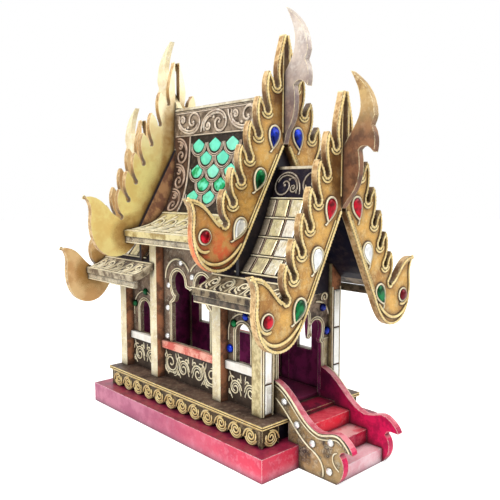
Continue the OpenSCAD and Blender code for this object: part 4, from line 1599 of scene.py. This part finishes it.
@dataclass
class MainRoofDress:
    """Tiles, scrolls and cord on the tall middle roof."""

    palette: Palette
    frieze: float = 28.0
    strip_y: float = 50.0
    eave_from: float = 114.0
    out_y: float = 75.6
    tile_rows: tuple[float, ...] = (39.0, 52.5, 66.1, 79.8, 93.6)
    tile_pitch: float = 27.0
    tile_start: float = 9.5
    tile_w: float = 18.4
    tile_l: float = 13.8

    def tile(self) -> bpy.types.Object:
        """Model one glass tile.

        Returns:
            A shield with a point at its top and a round foot.
        """
        right = shares(0, self.tile_w / 2, self.tile_l / 2,
                       ((0, 1.06), (0.52, 0.66), (1, 0.20), (0.90, -0.28), (0.62, -0.70), (0.30, -0.93)))
        outline = right + [(0, -self.tile_l / 2)] + [(-x, y) for x, y in right[:0:-1]]
        return make_gem(outline[::-1], 1.3)

    def build(self) -> None:
        """Dress both slopes."""
        tiles, slits, bosses = [], [], []
        scales, scrolls, leaves, rails = CordWork(0.7), CordWork(1.35), CordWork(1.15), CordWork(1.0)
        out = self.out_y
        frieze = FriezeBand(43.0, 4, out - 1.5, 2 * out - 3, 4.6, HOUSE.panel + 0.25, HOUSE.panel)
        eave = EaveBand(-out, out, self.eave_from, 2.6, 5.5, 7)
        for side in Side:
            face = RoofFace(side, HOUSE.main_profile)
            frieze.lay(face, scrolls, bosses)
            rails.rule(face, -out, out, (3.2, self.frieze - 0.6), HOUSE.panel + 0.1)
            self.lay_strips(face, scrolls, rails, bosses)
            eave.lay(face, leaves, slits)
            self.lay_tiles(face, tiles, scales)
        finish_piece(copies(self.tile(), tiles), "green_tiles", "glass_teal", smooth=False)
        # The dark slit plates are painted shade: they stand for the shadow inside the carved cuts
        finish_piece(copies(make_slit(), slits), "main_eave_slits", "black_lacquer")
        finish_piece(copies(make_bead(1.9), bosses), "main_roof_bosses", "scroll_beige")
        scales.make("tile_scales", "scroll_beige")
        scrolls.make("main_roof_scrolls", "scroll_beige")
        leaves.make("main_eave_scrolls", "cord_cream")
        rails.make("main_roof_lines", "scroll_beige")
        self.palette.dress("main_roof_paint", "main_roof_left", "main_roof_right")

    def lay_strips(self, face: RoofFace, scrolls: CordWork, rails: CordWork, bosses: list[Matrix]) -> None:
        """Lay the hooked scrolls down both ends of the slope.

        Args:
            face: The slope.
            scrolls: Receives the scrolls.
            rails: Receives the lines beside them.
            bosses: Receives the bosses' places.
        """
        lines, eyes = hook_scrolls(self.eave_from - self.frieze - 3, self.out_y - self.strip_y - 3.0, 3)
        run = range(int(self.frieze), int(self.eave_from) + 1, 4)
        for sign in (-1, 1):
            def put(line: Line) -> Line:
                """Place a line of the column on the slope."""
                return [(sign * (self.out_y - 1 - v), self.frieze + 1.5 + u) for u, v in line]

            for line in lines:
                scrolls.lay(face, put(line), HOUSE.panel + 0.25)
            bosses += [seat_matrix(face, u, v, HOUSE.panel) for u, v in put(eyes)]
            rails.lay(face, [(sign * (self.strip_y + 0.6), v) for v in run], HOUSE.panel + 0.1)

    def lay_tiles(self, face: RoofFace, tiles: list[Matrix], scales: CordWork) -> None:
        """Set the tiles of one slope, each in a double scale of cord.

        Args:
            face: The slope.
            tiles: Receives the tiles' places.
            scales: Receives the cord.
        """
        edge = self.strip_y - 0.6
        w, l = self.tile_w / 2, self.tile_l / 2
        for row, v in enumerate(self.tile_rows):
            start = self.tile_start + (row % 2) * self.tile_pitch / 2
            for k in range(-4, 5):
                u = start + k * self.tile_pitch
                if abs(u) > edge - 0.72 * w:
                    continue
                tiles.append(seat_matrix(face, u, v, 0.2, 180))
                for grow, weight in ((2.5, 1.0), (4.5, 0.85)):
                    scale = mirrored(curve([(-w - grow, -3.0), (-w - 0.6 * grow, 0.62 * l + grow),
                                            (-0.5 * w, l + 0.9 * grow), (0, l + 0.95 * grow)], 8))
                    inside = [(u + x, v + y) for x, y in scale if abs(u + x) < edge]
                    if len(inside) > 3:
                        scales.lay(face, inside, 0.5, weight=weight)


@dataclass
class LowRoofDress:
    """Mirror tiles, battens, scroll frieze and eave leaves on a lower roof."""

    palette: Palette
    end: End
    rows: tuple[float, ...] = (28.0, 46.9, 65.8, 84.7, 103.6)
    first_col: float = 73.0
    pitch: float = 16.7
    cols: int = 4
    tile: tuple[float, float, float] = (13.2, 15.6, 1.6)
    eave_from: float = 110.0

    def build(self) -> None:
        """Dress both slopes of this roof."""
        word, s = self.end.name.lower(), self.end.value
        tiles, tones, slits, bosses = [], [], [], []
        scrolls, battens, ribs, leaves = CordWork(0.8), CordWork(1.2), CordWork(0.85), CordWork(1.1)
        half_l = HOUSE.low_half_l
        frieze = FriezeBand(34.0, 3, half_l - 1.5, half_l - 57, 3.8, 0.5, sign=s)
        eave = EaveBand(46.0 if self.end is End.FRONT else 53.0, half_l, self.eave_from, 2.2, 4.5, 5, s, 0.6)
        for side in Side:
            face = RoofFace(side, HOUSE.low_profile)
            self.lay_tiles(face, tiles, tones, battens, ribs)
            frieze.lay(face, scrolls, bosses)
            eave.lay(face, leaves, slits)
        finish_piece(copies(make_plate(self.tile, 0.9, 0.35), tiles, tones), f"{word}_mirror_tiles",
                     "mirror_tiles", smooth=False)
        # The dark slit plates are painted shade: they stand for the shadow inside the carved cuts
        finish_piece(copies(make_slit(), slits), f"{word}_eave_slits", "black_lacquer")
        finish_piece(copies(make_bead(1.5), bosses), f"{word}_roof_bosses", "scroll_grey")
        scrolls.make(f"{word}_frieze_scrolls", "scroll_grey")
        battens.make(f"{word}_roof_battens", "cord_cream")
        ribs.make(f"{word}_roof_ribs", "scroll_beige")
        leaves.make(f"{word}_eave_scrolls", "cord_cream")
        self.palette.dress("low_roof_paint", f"{word}_roof_left", f"{word}_roof_right")

    def lay_tiles(self, face: RoofFace, tiles: list[Matrix], tones: list[float], battens: CordWork,
                  ribs: CordWork) -> None:
        """Set the mirror tiles between battens and twisted cords.

        Args:
            face: The slope.
            tiles: Receives the tiles' places.
            tones: Receives one tone per tile, paler towards the gable; the pale tones are painted reflection.
            battens: Receives the cord along the roof.
            ribs: Receives the twisted cord down the slope.
        """
        s = self.end.value
        rng = random.Random(11 + s + 3 * face.side.value)
        for r0, r1 in zip(self.rows, self.rows[1:]):
            for c in range(self.cols):
                u = s * (self.first_col + (c + 0.5) * self.pitch)
                tilt = Matrix.Rotation(math.radians(rng.uniform(-2.5, 2.5)), 4, "X")
                lean = Matrix.Rotation(math.radians(rng.uniform(-2, 2)), 4, "Y")
                tiles.append(seat_matrix(face, u, (r0 + r1) / 2, 0.7) @ tilt @ lean)
                # Painted reflection: tiles nearer the gable get paler tones
                tones.append(min(1.0, 0.12 + 0.30 * c + rng.uniform(-0.08, 0.16)))
        battens.rule(face, s * (self.first_col - 1.5), s * (HOUSE.low_half_l - 0.5), self.rows, 0.9)
        for c in range(self.cols + 1):
            u = s * (self.first_col + c * self.pitch)
            ribs.twisted(face, [(u, v) for v in range(29, 104, 3)], 0.5)
        last = self.first_col + self.cols * self.pitch
        battens.lay(face, [(s * (last + 3.5), v) for v in range(28, 104, 4)], 0.6)


@dataclass
class PlinthDress:
    """Spirals and edge cord of the plinth, and the finishes of the base."""

    palette: Palette
    scallops: int = 12
    lip_z: Point = (38.1, 40.1)
    apron_z: float = 36.3
    stair_half: float = 35.0
    def apron(self, face: Face, start: float, pitch: float, count: int, cord: CordWork) -> None:
        """Lay one spiral in each scallop of an apron.

        Args:
            face: The apron's outer face.
            start: Where the first scallop starts.
            pitch: The width of a scallop.
            count: The number of scallops.
            cord: Receives the strokes.
        """
        low = HOUSE.base_t
        for i in range(count):
            c = start + (i + 0.5) * pitch
            cord.lay(face, spiral(c, low + 8.2, 6.5, 150, 2.1, 34), 0.3)
            cord.lay(face, arc(c, low + 8.2, min(7.6, 0.44 * abs(pitch)), 200, 340, 8), 0.2)
            cord.lay(face, curve([(c + 0.5 * pitch, low + 5), (c + 0.42 * pitch, low + 10),
                                  (c + 0.3 * pitch, low + 14.6), (c - 0.1 * pitch, low + 14.2)], 6), 0.3)

    def build(self) -> None:
        """Dress the plinth and the base."""
        cord, edge = CordWork(0.9), CordWork(0.9)
        pitch = 2 * HOUSE.core_y / self.scallops
        half = HOUSE.plinth_l / 2
        for side in Side:
            face = SideFace(side, HOUSE.core_x + 4)
            self.apron(face, -HOUSE.core_y, pitch, self.scallops, cord)
            edge.rule(SideFace(side, HOUSE.plinth_w / 2), -half, half, self.lip_z, 0.1)
            edge.rule(face, -HOUSE.core_y, HOUSE.core_y, (self.apron_z,), 0.3)
        half = HOUSE.plinth_w / 2
        for end in End:
            face = EndFace(end, HOUSE.core_y + 4)
            x1 = HOUSE.core_x + 4
            if end is End.REAR:
                self.apron(face, -x1, 2 * x1 / 6, 6, cord)
                edge.rule(face, -x1, x1, (self.apron_z,), 0.3)
                spans = [(-half, half)]
            else:
                self.apron(face, -x1, pitch, 1, cord)
                self.apron(face, x1, -pitch, 1, cord)
                spans = [(-half, -self.stair_half), (self.stair_half, half)]
            lip = EndFace(end, HOUSE.plinth_l / 2)
            for z in self.lip_z:
                for a, b in spans:
                    edge.lay(lip, [(a, z), (b, z)], 0.1)
        cord.make("apron_spirals", "cord_gold")
        edge.make("plinth_edge_cord", "cord_gold")
        for finish, *nodes in (
            ("faded_red", "base_board"), ("hall_floor", "floor_board"), ("worn_pink", "step_lower"),
            ("worn_red", "step_middle"), ("red_lacquer", "step_upper"), ("black_lacquer", "plinth_core"),
            ("plinth_brown", "plinth_top"), ("apron_gold", "apron_sides", "apron_ends"),
        ):
            self.palette.dress(finish, *nodes)


@dataclass
class HallDress:
    """Cord, beads and scrolls round the windows, arcades and dadoes of the hall."""

    palette: Palette
    inlay: Inlay
    window_w: float = 19.0
    window_h: float = 36.5
    bays: tuple[Point, ...] = ((-96.5, -54.0), (-42.0, 49.0), (61.0, 109.0))
    middle_y: float = 3.5
    side_beads: tuple[tuple[float, float, Glass], ...] = (
        (-78.5, 124.5, Glass.BLUE), (-57.5, 91.5, Glass.BLUE), (-62.5, 116.0, Glass.GREEN),
        (83.5, 127.0, Glass.GREEN), (104.0, 112.0, Glass.GREEN), (66.0, 112.0, Glass.BLUE),
        (39.5, 139.5, Glass.CLEAR), (-32.5, 139.5, Glass.CLEAR), (-0.5, 152.0, Glass.CLEAR),
        (41.5, 115.5, Glass.CLEAR), (42.5, 85.5, Glass.CLEAR), (-35.0, 115.5, Glass.CLEAR),
        (18.0, 165.0, Glass.CLEAR), (-91.0, 112.0, Glass.GREEN),
    )
    rear_beads: tuple[tuple[float, float, Glass], ...] = (
        (0.0, 127.0, Glass.GREEN), (-27.0, 112.0, Glass.BLUE), (27.0, 112.0, Glass.BLUE))
    post_rails: Point = (41.5, 146.0)
    strip: tuple[float, float, float] = (7.6, 26.0, 1.2)
    strip_x: float = 45.9
    strip_runs: tuple[Point, ...] = ((43.5, 69.5), (71.0, 106.0), (107.5, 143.0))

    def window(self, face: Face, centre: float, cord: CordWork, half_bay: float) -> None:
        """Lay double cord round a window and an arch band over it.

        Args:
            face: The wall's face.
            centre: The window's middle.
            cord: Receives the strokes.
            half_bay: Half the width of the bay.
        """
        z0 = HOUSE.sill_z
        spring = z0 + self.window_h - self.window_w / 2
        for grow in (1.0, 3.2):
            r = self.window_w / 2 + grow
            line = [(centre - r, z0 + 0.6)] + arc(centre, spring, r, 180, 0, 18) + [(centre + r, z0 + 0.6)]
            cord.lay(face, line, 0.3)
        r = min(half_bay - 1.2, 21.0)
        band = arc(centre, spring - 1, r, 175, 5, 18)
        cord.lay(face, [(centre - r, spring - 8), *band, (centre + r, spring - 8)], 0.3)

    def jamb_and_lobe(self, half: float, spring: float, cusp: float, r: float, top: float) -> Line:
        """Draw the left jamb, cusp and lobe of a lobed opening.

        Args:
            half: Half the opening's width.
            spring: The height of the cusp.
            cusp: How far the cusp stands out.
            r: The lobe's radius.
            top: The lobe's height.

        Returns:
            The line from the foot up.
        """
        line = [(-half, 0.0)]
        for a in range(0, 91, 15):
            t = math.radians(a)
            line.append((-half + cusp * math.sin(t), spring - 1.2 * cusp * math.cos(t)))
        line += curve([(cusp - half, spring), (0.4 * cusp - half, spring + 1), (-half, top - 1.6 * r),
                       (-half, top - r)], 5)[1:]
        line += arc(-half + r, top - r, r, 165, 0, 11)
        return line

    def arcade(self) -> Line:
        """Draw a middle bay's two-lobed arcade.

        Returns:
            Its outline, with u from its middle and v from its foot.
        """
        half, spring, cusp, top = 31.0, 50.0, 7.0, 75.0
        r = 0.36 * half
        line = self.jamb_and_lobe(half, spring, cusp, r, top)
        line += curve([(2 * r - half, top - r), (2 * r - half, spring + cusp),
                       (-0.1 * half, spring + 1.4 * cusp), (0, spring + cusp)], 6)[1:]
        return mirrored(line)

    def doorway(self) -> Line:
        """Draw the front doorway.

        Returns:
            Its outline, with u from its middle and v from its foot.
        """
        half, spring, cusp, rise = 29.0, 56.0, 3.0, 33.0
        r, middle_r = 0.28 * half, 0.33 * half
        top, side_top = spring + rise, spring + 0.6 * rise
        pendant = (2 * r - half - middle_r) / 2
        line = self.jamb_and_lobe(half, spring, cusp, r, side_top)
        line += curve([(2 * r - half, side_top - r), (2 * r - half, spring + 1.5 * cusp),
                       (pendant, spring + 2 * cusp), (pendant, spring + cusp)], 4)[1:]
        line += curve([(pendant, spring + cusp), (pendant, spring + 2 * cusp),
                       (-middle_r, spring + 2 * cusp), (-middle_r, top - middle_r)], 4)[1:]
        line += arc(0, top - middle_r, middle_r, 165, 90, 5)
        return mirrored(line)

    def dado(self, face: Face, a: float, b: float, cord: CordWork, count: int) -> None:
        """Fill the panel under a sill with facing scrolls.

        Args:
            face: The wall's face.
            a: Where the panel starts.
            b: Where the panel ends.
            cord: Receives the strokes.
            count: The number of scrolls to each side of the panel's middle.
        """
        low, high = HOUSE.plinth_z + 1.5, HOUSE.sill_z - HOUSE.sill_t - 1.5
        half, mid = (b - a) / 2, (a + b) / 2
        pitch = (half - 3) / count
        pattern = [(line, 0.9) for line in running_scrolls(half - 3, high - low - 3, count, 1.4)]
        pattern += [(inset(line, 2.3)[: 2 * len(line) // 3], 0.7) for line, _ in pattern[::2]]
        for i in range(count):
            for x0, y0, x1, y1 in ((0.72, 1, 1.0, 9), (0.72, 17, 0.94, 26), (0.0, 18, 0.16, 27)):
                leaf = [(pitch * (i + x0), y0), (pitch * (i + x0 + 0.16), y0 + 5),
                        (pitch * (i + x1 - 0.12), y1 - 4), (pitch * (i + x1), y1)]
                pattern.append((curve(leaf, 7), 0.7))
        for sign in (-1, 1):
            for stroke, weight in pattern:
                inside = [(u, v) for u, v in stroke if 0 < u < half - 2 and 0 < v < high - low - 2]
                if len(inside) > 2:
                    cord.lay(face, [(mid + sign * (1.5 + u), low + 1.5 + v) for u, v in inside], 0.3,
                             weight=weight)

    def build(self) -> None:
        """Dress the walls, posts and sills."""
        cord, bands, scrolls = CordWork(0.75), CordWork(1.0), CordWork(0.9)
        front, middle, rear = self.bays
        for side in Side:
            face = SideFace(side, HOUSE.wall_x)
            for a, b in (front, rear):
                self.window(face, (a + b) / 2, cord, (b - a) / 2)
                self.dado(face, a, b, scrolls, 1)
            self.dado(face, *middle, scrolls, 2)
            outline = [(self.middle_y + u, HOUSE.sill_z + v) for u, v in self.arcade()]
            cord.lay(face, inset(outline, -1.0), 0.3)
            cord.lay(face, inset(outline, -3.2), 0.3)
            for sign in (-1, 1):
                band = [(self.middle_y + sign * u, v) for u, v in arc(20.0, 146.5, 21.5, 150, 0, 16)]
                bands.lay(face, band, 0.3)
            for u, v, colour in self.side_beads:
                self.inlay.bead(face, u, v, colour)
            word = side.name.lower()
            self.palette.dress("wall_gold", *(f"{word}_{bay}_wall" for bay in ("front", "middle", "rear")))
            self.palette.dress("post_cream", f"posts_{word}")
        self.front(cord, bands, scrolls)
        self.mirror_strips()
        self.rear(cord, scrolls)
        cord.make("opening_cord", "cord_cream")
        bands.make("arch_bands", "cord_cream")
        scrolls.make("dado_scrolls", "cord_cream")
        self.palette.dress("door_gold", "front_wall")
        self.palette.dress("wall_gold", "rear_wall")
        self.palette.dress("sill_white", "sills")
        self.palette.dress("black_lacquer", "end_gables", "upper_gables")

    def front(self, cord: CordWork, bands: CordWork, scrolls: CordWork) -> None:
        """Lay the doorway's cord, its arch bands and beads, and the corner posts' edging.

        Args:
            cord: Receives the doorway's outline.
            bands: Receives the bands and the edging.
            scrolls: Receives the curls over the bands.
        """
        face = EndFace(End.FRONT, HOUSE.front_wall_y)
        outline = [(u, HOUSE.plinth_z + v) for u, v in self.doorway()]
        cord.lay(face, inset(outline, -1.0), 0.3)
        cord.lay(face, inset(outline, -3.0), 0.3)
        for side in Side:
            s = side.value
            bands.lay(face, [(s * u, v) for u, v in arc(21.5, 117.0, 17.0, 95, 10, 12)], 0.3)
            bands.lay(face, [(s * u, v) for u, v in ((31.5, 97.0), (38.5, 97.0))], 0.3)
            scrolls.lay(face, [(s * u, v) for u, v in spiral(33.0, 137.0, 5.0, 210, -1.3, 18)], 0.3)
            for u, v in ((30.3, 127.6), (36.0, 104.0)):
                self.inlay.bead(face, s * u, v, Glass.BLUE)
            corner = EndFace(End.FRONT, HOUSE.post_y)
            for x in (40.2, 51.3):
                bands.lay(corner, [(s * x, z) for z in self.post_rails], 0.2)
            outer = SideFace(side, HOUSE.hall_x)
            bands.lay(outer, [(1.0 - HOUSE.post_y, z) for z in self.post_rails], 0.2)

    def mirror_strips(self) -> None:
        """Set upright mirror strips into the front of both corner posts."""
        face = EndFace(End.FRONT, HOUSE.post_y)
        places = []
        for side in Side:
            for low, high in self.strip_runs:
                m = seat_matrix(face, side.value * self.strip_x, (low + high) / 2, 0.3)
                places.append(m @ Matrix.Diagonal((1, (high - low) / self.strip[1], 1, 1)))
        finish_piece(copies(make_plate(self.strip, 1.0, 0.4), places), "corner_mirrors",
                     "mirror_strip", smooth=False)

    def rear(self, cord: CordWork, scrolls: CordWork) -> None:
        """Repeat a bay's window and dado on the rear wall.

        Args:
            cord: Receives the window's cord.
            scrolls: Receives the dado's scrolls.
        """
        face = EndFace(End.REAR, HOUSE.rear_wall_y)
        self.window(face, 0.0, cord, 24.0)
        self.dado(face, -40.0, 40.0, scrolls, 2)
        for u, v, colour in self.rear_beads:
            self.inlay.bead(face, u, v, colour)


@dataclass
class StairDress:
    """Cord and beads on the stair cheeks."""

    palette: Palette
    inlay: Inlay
    face_x: float = 34.6
    beads: tuple[Point, ...] = ((-119.5, 54.5), (-134.5, 38.0), (-152.5, 27.0), (-172.0, 33.8), (-171.0, 9.0))

    def build(self) -> None:
        """Dress both cheeks."""
        cord = CordWork(0.9)
        top = curve([(-108.5, 69.5), (-127.9, 65.0), (-138.1, 39.5), (-158.6, 36.5)], 14)
        top += curve([(-158.6, 36.5), (-170.0, 36.5), (-176.0, 45.0), (-185.0, 37.2)], 8)[1:]
        top += curve([(-185.0, 37.2), (-188.5, 34.0), (-190.5, 32.0), (-191.0, 30.2)], 4)[1:]
        low = curve([(-109.0, 55.0), (-126.0, 45.0), (-134.0, 28.0), (-152.0, 21.0)], 14)
        hook = curve([(-152.0, 21.0), (-162.0, 17.0), (-166.0, 10.0), (-164.0, 2.0)], 8)
        throat = curve([(-179.0, 27.0), (-172.0, 26.0), (-172.0, 16.0), (-181.0, 12.0)], 8)
        for side in Side:
            face = SideFace(side, self.face_x)
            cord.lay(face, top, 0.3)
            cord.lay(face, inset(top[:-4], -3.4), 0.2, weight=0.7)
            cord.lay(face, low, 0.3)
            cord.lay(face, hook, 0.3)
            cord.lay(face, throat, 0.2, weight=0.8)
            for y, z in self.beads:
                self.inlay.bead(face, y, z, Glass.CLEAR)
            self.palette.dress("cheek_gold", f"cheek_{side.name.lower()}")
        cord.make("cheek_cord", "cord_cream")

@dataclass
class RoofTrim:
    """Finishes and bottom cord of the ridge caps and fascias.

    Each run is the X and Z of a fascia's bottom cord and the Y of the fascia's ends.
    """

    palette: Palette
    runs: tuple[tuple[float, float, float, float], ...] = (
        (69.0, 183.6, -80.0, 80.0), (77.0, 138.6, -148.0, -46.2), (77.0, 138.6, 53.2, 148.0))

    def build(self) -> None:
        """Dress the trim."""
        cord = CordWork(0.9)
        for side in Side:
            for x, z, a, b in self.runs:
                cord.rule(SideFace(side, x), a + 0.8, b - 0.8, (z,), 0.0)
        cord.make("fascia_cord", "cord_cream")
        self.palette.dress("cap_cream", "ridge_caps")
        self.palette.dress("fascia_paint", "eave_fascias")


@dataclass
class Studio:
    """Camera, floor and soft light."""

    eye: tuple[float, float, float] = (-0.4085, -0.4788, 0.240)
    look: tuple[float, float, float] = (0.6759, 0.7300, -0.1011)
    lens: float = 44.06
    lamps: tuple[tuple[Colour, float, float], ...] = (
        ((-0.95, -0.35, 1.1), 0.8, 17.0), ((0.7, -0.9, 0.9), 0.8, 6.0), ((0.3, 0.9, 1.2), 1.0, 6.0))
    aim: tuple[float, float, float] = (0, 0, 0.15)

    def build(self) -> None:
        """Set the stage."""
        self.camera()
        self.floor()
        self.light()
        bpy.context.scene.view_settings.view_transform = "Standard"

    def camera(self) -> None:
        """Place the camera where the photograph was taken from."""
        deselect()
        bpy.ops.object.camera_add(location=self.eye)
        cam = bpy.context.object
        cam.rotation_euler = Vector(self.look).to_track_quat("-Z", "Y").to_euler()
        cam.data.lens = self.lens
        cam.data.sensor_width = 36.0
        cam.data.sensor_fit = "HORIZONTAL"
        cam.data.clip_start = 0.01
        bpy.context.scene.camera = cam

    def floor(self) -> None:
        """Lay a plain white floor that keeps the object's shadow."""
        deselect()
        bpy.ops.mesh.primitive_plane_add(size=8.0, location=(0, 0, -0.0002))
        floor = bpy.context.object
        settle(floor)
        floor.name = "floor"
        m, t, shader = new_material("white_floor")
        cloud = t.ramp(t.noise(t.place(), 4.0), 0.3, 0.7)
        rays = t.node("ShaderNodeLightPath").outputs
        seen = t.math("MAXIMUM", rays["Is Camera Ray"], rays["Is Glossy Ray"])
        t.fill(shader, Base_Color=t.mix(cloud, (0.86, 0.86, 0.86), (0.90, 0.90, 0.90)), Roughness=0.6,
               Emission_Color=WHITE, Emission_Strength=t.times(seen, 0.62))
        floor.data.materials.append(m)

    def light(self) -> None:
        """Hang soft lamps and a pale world that shows white behind the object."""
        for place, size, power in self.lamps:
            deselect()
            bpy.ops.object.light_add(type="AREA", location=place)
            lamp = bpy.context.object
            lamp.data.size = size
            lamp.data.energy = power
            lamp.rotation_euler = (Vector(self.aim) - Vector(place)).to_track_quat("-Z", "Y").to_euler()
        world = bpy.data.worlds.new("studio")
        bpy.context.scene.world = world
        world.use_nodes = True
        t = Tree(world.node_tree)
        rays = t.node("ShaderNodeLightPath").outputs
        mirrored_rays = t.math("MAXIMUM", rays["Is Glossy Ray"], rays["Is Transmission Ray"])
        seen = t.math("MAXIMUM", rays["Is Camera Ray"], mirrored_rays)
        t.fill(world.node_tree.nodes["Background"], Color=WHITE, Strength=t.ramp(seen, 0.0, 1.0, 0.42, 1.0))


def main() -> None:
    """Dress the house piece by piece and report each one."""
    logging.basicConfig(level=logging.INFO, format="%(name)s %(message)s")
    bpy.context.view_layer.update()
    palette = Palette()
    inlay = Inlay()
    for end in End:
        for upper in (False, True):
            GableDress(palette, inlay, end, upper).build()
        LowRoofDress(palette, end).build()
    MainRoofDress(palette).build()
    RoofTrim(palette).build()
    HallDress(palette, inlay).build()
    PlinthDress(palette).build()
    StairDress(palette, inlay).build()
    inlay.make()
    Studio().build()


if __name__ == "__main__":
    main()
